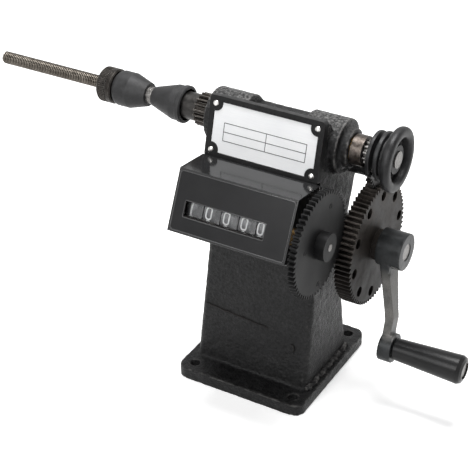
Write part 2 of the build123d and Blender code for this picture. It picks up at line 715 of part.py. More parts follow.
def belt_pulley():
    """Pulley with a belt groove between two flanges and a flared cup at the end."""
    flange_a = PULLEY_X + FLANGE_A_L
    flange_b = flange_a + GROOVE_L
    neck = flange_b + FLANGE_B_L
    flare = neck + NECK_L
    rim = flare + CUP_FLARE_L
    wall = (GROOVE_L - GROOVE_FLOOR_L) / 2
    floor = PULLEY_END - CUP_DEPTH
    hub = PULLEY_END - CUP_HUB_SET
    body = turned([
        (PULLEY_X, SPINDLE_R), (PULLEY_X, FLANGE_A_R - 0.5), (PULLEY_X + 0.5, FLANGE_A_R),
        (flange_a, FLANGE_A_R), (flange_a + wall, GROOVE_ROOT_R),
        (flange_b - wall, GROOVE_ROOT_R), (flange_b, FLANGE_B_R - 0.4),
        (flange_b + 0.5, FLANGE_B_R), (neck - 0.9, FLANGE_B_R), (neck, FLANGE_B_R - 1.0),
        (neck, NECK_R), (flare, NECK_R + 0.5),
        (flare + CUP_FLARE_L * 0.5, NECK_R + (CUP_R - NECK_R) * 0.7), (rim, CUP_R),
        (PULLEY_END - CUP_ROUND, CUP_R), (PULLEY_END, CUP_R - CUP_ROUND),
        (PULLEY_END, CUP_MOUTH_R + CUP_ROUND), (PULLEY_END - CUP_ROUND, CUP_MOUTH_R),
        (floor, CUP_FLOOR_R),
        (floor, CUP_HUB_R), (hub, CUP_HUB_R), (hub, SPINDLE_R),
    ], *SPINDLE)
    return body - extrude(pulley_screw_plane() * Circle(PULLEY_SCREW_R), amount=FLANGE_A_R)


def pulley_set_screw():
    length = GROOVE_ROOT_R + PULLEY_SCREW_DEEP - SPINDLE_R
    plane = pulley_screw_plane()
    body = extrude(plane * Circle(PULLEY_SCREW_R), amount=length)
    body -= disc(PULLEY_X, PULLEY_END, *SPINDLE, SPINDLE_R)
    slot = plane.offset(length) * Rectangle(3 * PULLEY_SCREW_R, 0.8)
    return body - extrude(slot, amount=-1.2)


# ---------------------------------------------------------------- crank and idler
def crank_gear():
    x0, x1 = CRANK_GEAR_X, CRANK_GEAR_X + CRANK_GEAR_T
    body = gear(x0, x1, *CRANK, CRANK_TEETH, MODULE, IDLER_ANGLE)
    body += disc(x0 - CRANK_GEAR_STEP, CRANK_HUB_X, *CRANK, CRANK_GEAR_HUB_R)
    body -= disc(x0 - CRANK_GEAR_STEP, CRANK_HUB_X, *CRANK, CRANK_SHAFT_R)
    for i in range(CRANK_GEAR_HOLES):
        angle = CRANK_HOLE_PHASE + 360.0 * i / CRANK_GEAR_HOLES
        body -= disc(x0, x1, *polar(*CRANK, CRANK_HOLE_PCR, angle), CRANK_HOLE_R)
    return body


def crank_shaft():
    body = disc(RING_X - 2, CRANK_HUB_X + CRANK_HUB_L - 0.5, *CRANK, CRANK_SHAFT_R)
    floor = CRANK_SHAFT_R - RING_GROOVE
    return body - tube(RING_X, RING_X + RING_T, *CRANK, CRANK_SHAFT_R + 1, floor)


def crank_retaining_ring():
    """Spring ring with a mouth at the bottom."""
    body = tube(RING_X, RING_X + RING_T, *CRANK, RING_R, CRANK_SHAFT_R - RING_GROOVE)
    mouth = [
        (CRANK_Y - 2.2, CRANK_Z), (CRANK_Y + 2.2, CRANK_Z),
        (CRANK_Y + 3.4, CRANK_Z - 9), (CRANK_Y - 3.4, CRANK_Z - 9),
    ]
    return body - prism(RING_X, RING_X + RING_T, mouth)


def crank_screw_plane():
    x = CRANK_HUB_X + (ARM_SET + ARM_T + CRANK_HUB_L) / 2
    return radial_plane(x, *CRANK, CRANK_SHAFT_R - 0.5, CRANK_SCREW_ANGLE)


def arm_edge(side):
    """Points down one edge of the arm's blade."""
    places = [(polar(*CRANK, r, CRANK_REST), w / 2) for r, w in ARM_STATIONS]
    return [polar(*place, half, CRANK_REST + 90 * side) for place, half in places]


def crank_arm():
    """Cast arm: hub, a blade that steps outwards past the pulley, and a boss for the grip."""
    a = math.radians(CRANK_REST)
    along = (0, math.cos(a), math.sin(a))
    side = Plane(origin=(0, *CRANK), x_dir=along, z_dir=(0, math.sin(a), -math.cos(a)))
    near, far = CRANK_HUB_X + ARM_SET, ARM_FAR_X
    lean = 0.4 * ARM_T
    profile = Polyline(
        (0, near), (JOG_START, near), (JOG_END, far), (CRANK_THROW, far),
        (CRANK_THROW, far + ARM_T), (JOG_END - lean, far + ARM_T),
        (JOG_START - lean, near + ARM_T), (0, near + ARM_T), close=True,
    )
    blade = extrude(side * make_face(profile), amount=ARM_STATIONS[0][1], both=True)
    blade &= prism(CRANK_HUB_X, far + 2 * ARM_T, arm_edge(1) + arm_edge(-1)[::-1])
    body = disc(CRANK_HUB_X, CRANK_HUB_X + CRANK_HUB_L, *CRANK, CRANK_HUB_R) + blade
    body += disc(GRIP_BOSS_X, GRIP_BOSS_X + GRIP_BOSS_L, *GRIP, GRIP_BOSS_R)
    body -= disc(CRANK_HUB_X, CRANK_HUB_X + CRANK_HUB_L, *CRANK, CRANK_SHAFT_R)
    body -= disc(GRIP_BOSS_X, GRIP_BOSS_X + GRIP_BOSS_L, *GRIP, GRIP_PIN_R)
    return body - extrude(crank_screw_plane() * Circle(CRANK_SCREW_R), amount=CRANK_HUB_R)


def crank_set_screw():
    length = CRANK_HUB_R - CRANK_SHAFT_R
    body = extrude(crank_screw_plane() * Circle(CRANK_SCREW_R), amount=length)
    return body - disc(CRANK_HUB_X, CRANK_HUB_X + CRANK_HUB_L, *CRANK, CRANK_SHAFT_R)


def grip_pin():
    """Rod fixed in the arm, with a head sunk in the grip's end."""
    neck = GRIP_X + GRIP_L - GRIP_SEAT + 0.2
    body = disc(GRIP_BOSS_X, neck, *GRIP, GRIP_PIN_R)
    return body + disc(neck, neck + GRIP_HEAD_T, *GRIP, GRIP_HEAD_R)


def crank_grip():
    bore = GRIP_PIN_R + RUN
    pocket = GRIP_HEAD_R + 0.5
    end = GRIP_X + GRIP_L
    return turned([
        (GRIP_X, bore), (GRIP_X, GRIP_R_NEAR - 0.5), (GRIP_X + 0.5, GRIP_R_NEAR),
        (end - GRIP_END_R, GRIP_R_FAR), (end - 0.9, GRIP_R_FAR - 0.9),
        (end, GRIP_R_FAR - GRIP_END_R), (end, pocket), (end - GRIP_SEAT, pocket),
        (end - GRIP_SEAT, bore),
    ], *GRIP)


def idler_gear():
    x0, x1 = IDLER_X, IDLER_X + IDLER_T
    body = gear(x0, x1, *IDLER, IDLER_TEETH, MODULE, IDLER_PHASE, tip=0.9)
    return body - disc(x0, x1, *IDLER, IDLER_BORE_R)


# ---------------------------------------------------------------- counter
def face_plane(depth=0.0):
    """Plane of the counter's face, some way behind it."""
    return leaning_plane(face_point(FACE_H / 2, depth), FACE_LEAN)


def face_rectangle(x0, x1, down0, down1):
    place = Pos((x0 + x1) / 2, FACE_H / 2 - (down0 + down1) / 2)
    return place * Rectangle(x1 - x0, down1 - down0)


def panel_rectangle(inset=0.0):
    edge = CASE_RIM + inset
    return face_rectangle(CASE_X0 + edge, CASE_X1 - edge, edge, FACE_H - edge)


def window_rectangle(lap=0.0):
    half = WINDOW_H / 2 + lap
    return face_rectangle(WINDOW_X0 - lap, WINDOW_X1 + lap, WINDOW_DOWN - half, WINDOW_DOWN + half)


def case_outline(wall, front):
    """(Y, Z) outline of the counter case, or of its inside."""
    top_y = cover_point(-COVER_H / 2, 0)[0] - GAP * 3
    top_z = FACE_TOP_Z - CASE_TOP_DROP
    slope = math.tan(math.radians(FACE_LEAN))
    foot = face_point(FACE_H - wall, front)
    return [
        face_point(wall, front),
        (top_y - wall, top_z - wall),
        (top_y - wall, CASE_STEP_Z - wall),
        (PAD_Y - wall, CASE_STEP_Z - wall),
        (PAD_Y - wall, foot[1] - (PAD_Y - wall - foot[0]) * slope),
        foot,
    ]


def counter_case():
    inside = (CASE_X0 + CASE_WALL, CASE_X1 - CASE_WALL)
    body = prism(CASE_X0, CASE_X1, case_outline(0, 0))
    body -= prism(*inside, case_outline(CASE_WALL, CASE_FRONT_T))
    body -= extrude(face_plane() * panel_rectangle(), amount=-(PANEL_SET + PANEL_T))
    body -= extrude(face_plane() * panel_rectangle(LEDGE), amount=-(CASE_FRONT_T + 1))
    body -= disc(inside[1], CASE_X1, *INPUT, INPUT_BUSH_R)
    for x0, x1 in ((CASE_X0, inside[0]), (inside[1], CASE_X1)):
        body -= disc(x0, x1, *AXLE, WHEEL_AXLE_R)
        body -= disc(x0, x1, *CARRY, CARRY_SHAFT_R)
    for x, z in case_screw_places():
        body -= along_y(x, z, PAD_Y - CASE_WALL, PAD_Y, CASE_SCREW_R)
    return body


def counter_panel():
    body = extrude(face_plane(PANEL_SET) * panel_rectangle(), amount=-PANEL_T)
    return body - extrude(face_plane(PANEL_SET) * window_rectangle(), amount=-PANEL_T)


def counter_lens():
    return extrude(face_plane(PANEL_SET + PANEL_T) * window_rectangle(LENS_LAP), amount=-LENS_T)


def counter_screws():
    screws = []
    inner = PAD_Y - CASE_WALL
    for x, z in case_screw_places():
        shank = along_y(x, z, inner, inner + CASE_SCREW_L, CASE_SCREW_R)
        screws.append(shank + along_y(x, z, inner - CASE_SCREW_HEAD_T, inner, CASE_SCREW_HEAD_R))
    return screws


def input_bush():
    """Bearing of the counter's input shaft, pressed in the case's right wall."""
    x0, x1 = CASE_X1 - CASE_WALL, COUNTER_GEAR_X - GAP
    return tube(x0, x1, *INPUT, INPUT_BUSH_R, INPUT_SHAFT_R + RUN)


def input_shaft():
    """Input shaft with its small pinion in one piece."""
    x1 = UNITS_GEAR_X + INPUT_TEETH_T
    body = disc(x1, COUNTER_HUB_END + 0.3, *INPUT, INPUT_SHAFT_R)
    return body + gear(UNITS_GEAR_X, x1, *INPUT, INPUT_TEETH, INPUT_MODULE, -FACE_LEAN)


def counter_gear():
    x0, x1 = COUNTER_GEAR_X, COUNTER_GEAR_X + COUNTER_GEAR_T
    body = gear(x0, x1, *INPUT, COUNTER_TEETH, MODULE, COUNTER_PHASE)
    body += disc(x1, COUNTER_HUB_END, *INPUT, COUNTER_HUB_R)
    return body - disc(x0, COUNTER_HUB_END, *INPUT, INPUT_SHAFT_R)


def digit_wheel(place):
    """Number wheel: carry ring on its right, locking disc on its left."""
    mid = FIRST_WHEEL_X + place * WHEEL_PITCH
    x0, x1 = mid - WHEEL_T / 2, mid + WHEEL_T / 2
    body = disc(x0, x1, *AXLE, WHEEL_R)
    if place > 0:
        body += disc(x0 - LOCK_T, x0, *AXLE, LOCK_R)
    if place < DIGITS - 1:
        body += gear(x1, x1 + RING_GEAR_T, *AXLE, RING_TEETH, CARRY_MODULE, CARRY_ANGLE)
    else:
        end = UNITS_GEAR_X + INPUT_TEETH_T
        body += disc(x1, UNITS_GEAR_X, *AXLE, WHEEL_AXLE_R + 2)
        body += gear(UNITS_GEAR_X, end, *AXLE, UNITS_TEETH, INPUT_MODULE, UNITS_PHASE)
    return body - disc(x0 - LOCK_T, x1 + 2 + INPUT_TEETH_T, *AXLE, WHEEL_AXLE_R + RUN)


def carry_pinion(place):
    """Pinion in the space between two number wheels."""
    x0 = FIRST_WHEEL_X + place * WHEEL_PITCH + WHEEL_T / 2 + GAP
    x1 = x0 + WHEEL_PITCH - WHEEL_T - 2 * GAP
    body = gear(x0, x1, *CARRY, CARRY_TEETH, CARRY_MODULE, CARRY_PHASE)
    return body - disc(x0, x1, *CARRY, CARRY_SHAFT_R + RUN)


# ---------------------------------------------------------------- write the nodes
save("body_casting", body_casting())
save("front_cover", front_cover())
save("name_plate", name_plate())
save("cover_screws", *cover_screws())
save("idler_stud", idler_stud())
for side, (start, end) in zip(("left", "right"), SPINDLE_BUSHES):
    bush = tube(start, end, *SPINDLE, SPINDLE_R + BUSH_WALL, SPINDLE_R + RUN)
    save(f"{side}_spindle_bush", bush)
for side, (start, end) in zip(("left", "right"), CRANK_BUSHES):
    bush = tube(start, end, *CRANK, CRANK_SHAFT_R + BUSH_WALL, CRANK_SHAFT_R + RUN)
    save(f"{side}_crank_bush", bush)

save("spindle_shaft", spindle_shaft())
save("spindle_hub", spindle_hub())
save("hub_pinion", hub_pinion())
save("winding_rod", winding_rod())
save("inner_cone", inner_cone())
save("inner_cone_bush", inner_cone_bush())
save("outer_cone", outer_cone())
save("outer_cone_bush", outer_cone_bush())
save("thrust_washer", thrust_washer())
save("lock_nut", lock_nut())
save("spindle_collar", spindle_collar())
save("belt_pulley", belt_pulley())
save("pulley_set_screw", pulley_set_screw())

save("crank_gear", crank_gear())
save("crank_shaft", crank_shaft())
save("crank_retaining_ring", crank_retaining_ring())
save("crank_arm", crank_arm())
save("crank_set_screw", crank_set_screw())
save("grip_pin", grip_pin())
save("crank_grip", crank_grip())
save("idler_gear", idler_gear())

save("counter_case", counter_case())
save("counter_panel", counter_panel())
save("counter_lens", counter_lens())
save("counter_screws", *counter_screws())
save("wheel_axle", disc(CASE_X0, CASE_X1, *AXLE, WHEEL_AXLE_R))
save("carry_shaft", disc(CASE_X0, CASE_X1, *CARRY, CARRY_SHAFT_R))
save("input_bush", input_bush())
save("input_shaft", input_shaft())
save("counter_gear", counter_gear())
for place in range(DIGITS):
    save(f"digit_wheel_{place + 1}", digit_wheel(place))
for place in range(DIGITS - 1):
    save(f"carry_pinion_{place + 1}", carry_pinion(place))
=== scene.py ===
"""Looks of the wire coil winding machine: materials, fine detail, floor, light and camera."""
import json
import math

import bmesh
import bpy
from mathutils import Matrix, Vector

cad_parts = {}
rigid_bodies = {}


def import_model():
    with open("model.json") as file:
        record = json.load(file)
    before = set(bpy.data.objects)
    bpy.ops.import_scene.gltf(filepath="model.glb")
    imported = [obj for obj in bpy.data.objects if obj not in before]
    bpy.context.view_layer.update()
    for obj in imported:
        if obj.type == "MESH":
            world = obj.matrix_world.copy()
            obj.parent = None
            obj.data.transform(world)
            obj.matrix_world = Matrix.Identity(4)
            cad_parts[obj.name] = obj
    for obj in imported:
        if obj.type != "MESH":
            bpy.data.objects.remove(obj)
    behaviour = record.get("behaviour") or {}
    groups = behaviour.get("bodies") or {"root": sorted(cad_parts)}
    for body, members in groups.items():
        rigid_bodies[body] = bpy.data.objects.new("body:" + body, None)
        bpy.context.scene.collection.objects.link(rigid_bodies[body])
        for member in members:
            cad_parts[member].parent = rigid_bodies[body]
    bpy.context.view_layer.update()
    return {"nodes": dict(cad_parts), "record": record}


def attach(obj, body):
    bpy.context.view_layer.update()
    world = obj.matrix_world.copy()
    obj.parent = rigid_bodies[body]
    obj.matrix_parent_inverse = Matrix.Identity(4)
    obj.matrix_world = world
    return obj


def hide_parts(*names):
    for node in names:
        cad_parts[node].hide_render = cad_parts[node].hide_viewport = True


for leftover in list(bpy.data.objects):
    bpy.data.objects.remove(leftover)
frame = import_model()
nodes = frame["nodes"]
MM = 0.001

# Places of the CAD model in millimetres: shaft lines and corners as (Y, Z)
SPINDLE = (10.2, 156.3)
COUNTER_INPUT = (-43.0821, 123.9397)
WHEEL_AXLE = (-36.2676, 120.6893)
COVER_MID = (-13.95, 161.5)
COVER_LEAN = math.radians(14.4)
FACE_TOP = (-44.0, 148.5)
FACE_LEAN = 25.5                            # degrees
FACE_TILT = math.radians(FACE_LEAN)
WHEEL_X, WHEEL_PITCH, WHEEL_R = -26.6, 11.35, 12.7


# ---------------------------------------------------------------- objects and meshes
def add_object(name, data):
    obj = bpy.data.objects.new(name, data)
    bpy.context.scene.collection.objects.link(obj)
    return obj


def add_piece(name, mesh, body, look, smooth=True):
    """Puts a mesh in the scene as a named piece that rides a body."""
    obj = add_object(name, mesh)
    mesh.materials.append(look)
    for face in mesh.polygons:
        face.use_smooth = smooth
    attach(obj, body)
    return obj


def final_mesh(obj):
    """Mesh of an object with its modifiers applied, or of a text's outline."""
    bpy.context.view_layer.update()
    return bpy.data.meshes.new_from_object(
        obj.evaluated_get(bpy.context.evaluated_depsgraph_get()))


def mesh_from(name, points, faces, outwards=True):
    """Mesh from points in millimetres, with its faces turned outwards where asked."""
    mesh = bpy.data.meshes.new(name)
    mesh.from_pydata([tuple(c * MM for c in p) for p in points], [], faces)
    if outwards:
        bm = bmesh.new()
        bm.from_mesh(mesh)
        bmesh.ops.recalc_face_normals(bm, faces=bm.faces)
        bm.to_mesh(mesh)
        bm.free()
    return mesh


def skin(rows, around, loop=False):
    """Faces between neighbouring rows of points, each row a closed ring."""
    faces = []
    for i in range(rows if loop else rows - 1):
        a, b = i * around, (i + 1) % rows * around
        for s in range(around):
            t = (s + 1) % around
            faces.append((a + s, a + t, b + t, b + s))
    return faces


def turned_about(yz, x, radius, angle):
    """Point at a radius and an angle from +Y about the shaft line at (Y, Z)."""
    return x, yz[0] + radius * math.cos(angle), yz[1] + radius * math.sin(angle)


def lathe(name, profile, yz, steps=128):
    """Closed ring of (X, radius) points turned about the shaft line at (Y, Z)."""
    points = []
    for i in range(steps):
        angle = 2 * math.pi * i / steps
        points += [turned_about(yz, x, r, angle) for x, r in profile]
    return mesh_from(name, points, skin(steps, len(profile), loop=True))


def rounded(corners, steps=5):
    """Closed outline from (x, r, fillet radius) corners."""
    outline = []
    for i, (x, r, fillet) in enumerate(corners):
        here = Vector((x, r))
        if fillet == 0:
            outline.append(tuple(here))
            continue
        before = Vector(corners[i - 1][:2]) - here
        after = Vector(corners[(i + 1) % len(corners)][:2]) - here
        half = before.angle(after) / 2
        reach = min(fillet / math.tan(half), 0.49 * before.length, 0.49 * after.length)
        start = here + before.normalized() * reach
        end = here + after.normalized() * reach
        for s in range(steps + 1):
            t = s / steps
            p = start * (1 - t) ** 2 + here * 2 * t * (1 - t) + end * t ** 2
            outline.append(tuple(p))
    return outline


def block(corner_a, corner_b, place):
    """Eight points and six faces of a box, put in place by a function of (a, b, c)."""
    (a0, b0, c0), (a1, b1, c1) = corner_a, corner_b
    points = [place(a, b, c) for a in (a0, a1) for b in (b0, b1) for c in (c0, c1)]
    faces = [(0, 1, 3, 2), (4, 6, 7, 5), (0, 4, 5, 1), (2, 3, 7, 6), (0, 2, 6, 4), (1, 5, 7, 3)]
    return points, faces


def join_parts(name, parts):
    """One mesh from several (points, faces) pairs."""
    points, faces = [], []
    for part_points, part_faces in parts:
        start = len(points)
        points += part_points
        faces += [tuple(start + i for i in face) for face in part_faces]
    return mesh_from(name, points, faces)


def on_cover(across, up, depth):
    """Place on the front cover: across along X, up the cover, and behind its front."""
    y = COVER_MID[0] + up * math.sin(COVER_LEAN) + depth * math.cos(COVER_LEAN)
    z = COVER_MID[1] + up * math.cos(COVER_LEAN) - depth * math.sin(COVER_LEAN)
    return across, y, z


def on_face(x, down, depth):
    """Place on the counter's face: along X, down the face, and behind it."""
    y = FACE_TOP[0] - down * math.sin(FACE_TILT) + depth * math.cos(FACE_TILT)
    z = FACE_TOP[1] - down * math.cos(FACE_TILT) - depth * math.sin(FACE_TILT)
    return x, y, z


# ---------------------------------------------------------------- shader nodes
BEVEL_SAMPLES = 6
EDGE_GAIN = 6.0


def shader_node(tree, kind, inputs=None, **settings):
    """New node in a tree, with its inputs linked to sockets or set to values."""
    made = tree.nodes.new("ShaderNode" + kind)
    for key, value in settings.items():
        setattr(made, key, value)
    for key, value in (inputs or {}).items():
        if isinstance(value, bpy.types.NodeSocket):
            tree.links.new(value, made.inputs[key])
        else:
            made.inputs[key].default_value = value
    return made


def seen_directly(tree):
    """1 for rays from the camera, through glass and off gloss, and 0 for the light's own rays."""
    rays = shader_node(tree, "LightPath").outputs
    straight = shader_node(tree, "Math", {
        0: rays["Is Camera Ray"], 1: rays["Is Transmission Ray"]}, operation="MAXIMUM")
    return shader_node(tree, "Math", {
        0: straight.outputs[0], 1: rays["Is Glossy Ray"]}, operation="MAXIMUM").outputs[0]


class Look:
    """A node material whose patterns lie in the object's own coordinates, in millimetres."""

    def __init__(self, name, metallic=0.0, **fixed):
        self.mat = bpy.data.materials.new(name)
        self.mat.use_nodes = True
        self.tree = self.mat.node_tree
        self.shader = self.tree.nodes["Principled BSDF"]
        self.shader.inputs["Metallic"].default_value = metallic
        for socket, value in fixed.items():
            self.shader.inputs[socket.replace("_", " ")].default_value = value
        coords = self.node("TexCoord").outputs["Object"]
        self.place = self.node("Mapping", {"Vector": coords, "Scale": (1 / MM,) * 3}).outputs[0]

    def node(self, kind, inputs=None, **settings):
        return shader_node(self.tree, kind, inputs, **settings)

    def noise(self, size, detail=3.0, roughness=0.55, stretch=(1, 1, 1)):
        """Noise from 0 to 1 with features of about the given size in millimetres."""
        place = self.place
        if stretch != (1, 1, 1):
            place = self.node("Mapping", {"Vector": place, "Scale": stretch}).outputs[0]
        made = self.node("TexNoise", {
            "Vector": place, "Scale": 1 / size, "Detail": detail, "Roughness": roughness})
        return made.outputs["Fac"]

    def ramp(self, factor, *stops):
        """Colour ramp through (position, grey or colour) stops."""
        made = self.node("ValToRGB", {"Fac": factor})
        line = made.color_ramp.elements
        while len(line) < len(stops):
            line.new(0.5)
        for element, (position, value) in zip(line, stops):
            element.position = position
            colour = value if isinstance(value, tuple) else (value,) * 3
            element.color = (*colour, 1)
        return made.outputs["Color"]

    def mix(self, factor, a, b, blend="MIX"):
        """Colour a where the factor is 0 and colour b, blended over it, where it is 1."""
        made = self.node("Mix", data_type="RGBA", blend_type=blend)
        for key, value in (("Factor", factor), ("A", a), ("B", b)):
            socket = [s for s in made.inputs if s.name == key and s.enabled][0]
            if isinstance(value, bpy.types.NodeSocket):
                self.tree.links.new(value, socket)
            elif key == "Factor":
                socket.default_value = value
            else:
                socket.default_value = (*value, 1)
        return [s for s in made.outputs if s.enabled][0]

    def maths(self, operation, a, b=0.0, clamp=False):
        return self.node("Math", {0: a, 1: b}, operation=operation, use_clamp=clamp).outputs[0]

    def along(self, axis):
        """Place along X, Y or Z, in millimetres."""
        return self.node("SeparateXYZ", {"Vector": self.place}).outputs[axis]

    def rise(self, value, start, full, most=1.0):
        """0 up to the start, and growing from there to the most at the full value."""
        return self.node("MapRange", {
            "Value": value, "From Min": start, "From Max": full, "To Max": most}).outputs[0]

    def soft_normal(self, radius):
        return self.node(
            "Bevel", {"Radius": radius * MM}, samples=BEVEL_SAMPLES).outputs["Normal"]

    def edges(self, width):
        """1 along the edges of the shape and 0 on its flats."""
        plain = self.node("NewGeometry").outputs["Normal"]
        dot = self.node(
            "VectorMath", {0: self.soft_normal(width), 1: plain}, operation="DOT_PRODUCT")
        turned = self.maths("SUBTRACT", 1.0, dot.outputs["Value"])
        return self.maths("MULTIPLY", turned, EDGE_GAIN, True)

    def finish(self, colour, roughness, bumps=(), edge=0.0):
        """Connects colour, roughness and a stack of (height, depth in millimetres) bumps."""
        self.tree.links.new(colour, self.shader.inputs["Base Color"])
        self.tree.links.new(roughness, self.shader.inputs["Roughness"])
        normal = self.soft_normal(edge) if edge else None
        for height, depth in bumps:
            made = self.node("Bump", {"Height": height, "Distance": depth * MM, "Strength": 1.0})
            if normal is not None:
                self.tree.links.new(normal, made.inputs["Normal"])
            normal = made.outputs["Normal"]
        if normal is not None:
            self.tree.links.new(normal, self.shader.inputs["Normal"])
        return self.mat


# ---------------------------------------------------------------- kinds of material
def cast_paint(name, dark, light, shine, lump, grain, wear, mottle, bevel=0.0):
    """Black enamel over sand-cast iron: grain, lumps, dust specks, worn edges and, without a
    bevel, a painted highlight speckled over the top of the head.
    """
    look = Look(name, Specular_IOR_Level=0.16)
    broad = look.noise(22, 4)
    fine = look.noise(1.5, 4, 0.65)
    lumps = look.noise(3.6, 4, 0.6)
    grains = look.ramp(look.noise(1.7, 3, 0.6), (0.36, 0.45), (0.64, 1.9))
    pits = look.node("TexVoronoi", {"Vector": look.place, "Scale": 0.6}).outputs["Distance"]
    paint = look.ramp(broad, (0.3, dark), (0.7, light))
    paint = look.mix(mottle, paint, grains, "MULTIPLY")
    paint = look.mix(look.ramp(fine, (0.62, 0.0), (0.76, 0.3)), paint, (0.07, 0.068, 0.066))
    paint = look.mix(look.ramp(pits, (0.06, 0.85), (0.2, 0.0)), paint, (0.004, 0.004, 0.0045))
    if bevel:
        edge = look.edges(bevel)
    else:
        pointed = look.node("NewGeometry").outputs["Pointiness"]
        edge = look.ramp(pointed, (0.51, 0.0), (0.56, 1.0))
    worn = look.maths("MULTIPLY", edge, look.ramp(lumps, (0.4, 0.0), (0.62, wear)))
    paint = look.mix(worn, paint, (0.16, 0.155, 0.15))
    if not bevel:
        # Painted highlight: the top of the head is painted paler in speckles, standing in for the
        # sheen the top lamp puts on the humps
        top_highlight_band = look.rise(look.along("Z"), 165.0, 175.0)
        painted_top_highlight = look.maths("MULTIPLY", top_highlight_band, look.ramp(fine, (0.45, 0.0), (0.62, 0.85)))
        paint = look.mix(painted_top_highlight, paint, (0.2, 0.198, 0.195))
    gloss = look.ramp(look.noise(6, 5), (0.3, shine), (0.75, shine + 0.22))
    return look.finish(paint, gloss, [(lumps, lump), (fine, grain)], bevel)


def worn_metal(name, dark, light, shine, metallic=0.85, stain_and_shade=(0.02, 0.016, 0.012),
               oil=0.5, size=7.0, spin=(1, 1, 1), edge_colour=None, rough_bump=0.012,
               fade=None, specular=0.25):
    """Bare or blackened metal: patches of oil and rust, fine scratches and bright edges.

    fade is (axis, start, full, most): the metal darkens from the start to the full place along
    the axis, up to the most; on the collar this is painted shade."""
    look = Look(name, metallic, Specular_IOR_Level=specular)
    patches = look.noise(size, 5, 0.6)
    fine = look.noise(0.5, 4, 0.65)
    turned = look.noise(0.35, 3, 0.5, spin)
    oily = look.ramp(look.noise(size * 0.55, 5, 0.7), (0.5, 0.0), (0.68, oil))
    metal = look.ramp(patches, (0.3, dark), (0.68, light))
    metal = look.mix(oily, metal, stain_and_shade)
    metal = look.mix(look.ramp(fine, (0.4, 0.25), (0.62, 0.0)), metal, dark)
    if edge_colour:
        rub = look.maths(
            "MULTIPLY", look.edges(0.35), look.ramp(patches, (0.3, 0.35), (0.6, 0.9)))
        metal = look.mix(rub, metal, edge_colour)
    # fade paints a darker band along an axis: painted shade on the collar, and darker towards the
    # bottom on the crank gear
    if fade:
        axis, start, full, most = fade
        sway = look.maths("MULTIPLY", patches, (full - start) * 0.3)
        ragged = look.maths("ADD", look.along(axis), sway)
        metal = look.mix(look.rise(ragged, start, full, most), metal, stain_and_shade)
    gloss = look.ramp(patches, (0.3, shine), (0.72, shine + 0.2))
    return look.finish(metal, gloss, [(turned, rough_bump), (fine, 0.006)], 0.25)


def rod_steel():
    """Threaded steel with painted shade in its grooves, bright where the cones have kept it
    clean.
    """
    look = Look("rod_steel", 0.9, Specular_IOR_Level=0.25)
    patches = look.noise(5, 4, 0.6)
    across = look.maths("SUBTRACT", look.along("Y"), SPINDLE[0])
    upward = look.maths("SUBTRACT", look.along("Z"), SPINDLE[1])
    radius = look.maths("SQRT", look.maths(
        "ADD", look.maths("MULTIPLY", across, across), look.maths("MULTIPLY", upward, upward)))
    # Painted shade: by the radius from the shaft line, the thread's grooves are painted near
    # black and only its peaks keep the brown steel
    crest_clear_of_groove_shade = look.rise(radius, 3.5, 3.85)
    brown = look.ramp(patches, (0.3, (0.09, 0.078, 0.065)), (0.7, (0.24, 0.215, 0.185)))
    metal = look.mix(crest_clear_of_groove_shade, (0.006, 0.005, 0.004), brown)
    plain = look.rise(look.along("X"), -91.0, -90.0)
    metal = look.mix(plain, metal, (0.62, 0.61, 0.59))
    gloss = look.ramp(patches, (0.3, 0.28), (0.72, 0.45))
    return look.finish(metal, gloss, [(look.noise(0.5, 4, 0.65), 0.004)])


def arm_steel():
    """Forged arm: dark blued steel, with its middle between the two bosses painted paler as a
    painted sheen.
    """
    look = Look("arm_steel", 0.3, Specular_IOR_Level=0.15)
    patches = look.noise(8, 5, 0.6)
    fine = look.noise(0.5, 4, 0.65)
    # Painted sheen: between about Z 56 and Z 84 the arm is painted paler, standing in for the
    # light it reflects; the bosses keep the dark blue
    ragged = look.maths("ADD", look.along("Z"), look.maths("MULTIPLY", patches, 10.0))
    blade_sheen_mask = look.maths(
        "MULTIPLY", look.rise(ragged, 50.0, 56.0), look.rise(ragged, 92.0, 84.0))
    blued = look.ramp(patches, (0.3, (0.014, 0.0155, 0.0165)), (0.68, (0.036, 0.039, 0.041)))
    painted_sheen = look.ramp(patches, (0.3, (0.085, 0.083, 0.079)), (0.68, (0.17, 0.165, 0.155)))
    metal = look.mix(blade_sheen_mask, blued, painted_sheen)
    metal = look.mix(look.ramp(fine, (0.4, 0.3), (0.62, 0.0)), metal, (0.03, 0.028, 0.025))
    rub = look.maths("MULTIPLY", look.edges(0.35), look.ramp(patches, (0.3, 0.3), (0.6, 0.8)))
    metal = look.mix(rub, metal, (0.2, 0.195, 0.18))
    gloss = look.ramp(patches, (0.3, 0.3), (0.72, 0.48))
    return look.finish(metal, gloss, [(fine, 0.02)])


def moulded(name, dark, light, shine, bump, edge, dust, specular=0.5):
    """Moulded plastic or stove enamel with faint dust and handling marks."""
    look = Look(name, Specular_IOR_Level=specular)
    broad = look.noise(14, 4)
    fine = look.noise(0.6, 4, 0.6)
    specks = look.noise(1.1, 6, 0.8)
    colour = look.ramp(broad, (0.3, dark), (0.7, light))
    colour = look.mix(look.ramp(specks, (0.66, 0.0), (0.76, dust)), colour, (0.22, 0.22, 0.215))
    gloss = look.ramp(look.noise(16, 2, 0.5), (0.3, shine), (0.75, shine + 0.07))
    return look.finish(colour, gloss, [(fine, bump)], edge)


def brushed_plate():
    """Pale brushed metal of the name plate."""
    look = Look("plate_metal", Specular_IOR_Level=0.5)
    brushed = look.noise(0.5, 4, 0.6, (0.05, 1, 1))
    colour = look.ramp(look.noise(30, 3), (0.3, (0.8, 0.81, 0.825)), (0.7, (0.88, 0.885, 0.89)))
    colour = look.mix(look.ramp(brushed, (0.35, 0.12), (0.6, 0.0)), colour, (0.6, 0.61, 0.63))
    gloss = look.ramp(look.noise(7, 4), (0.3, 0.32), (0.7, 0.44))
    return look.finish(colour, gloss, [(brushed, 0.004)], 0.3)


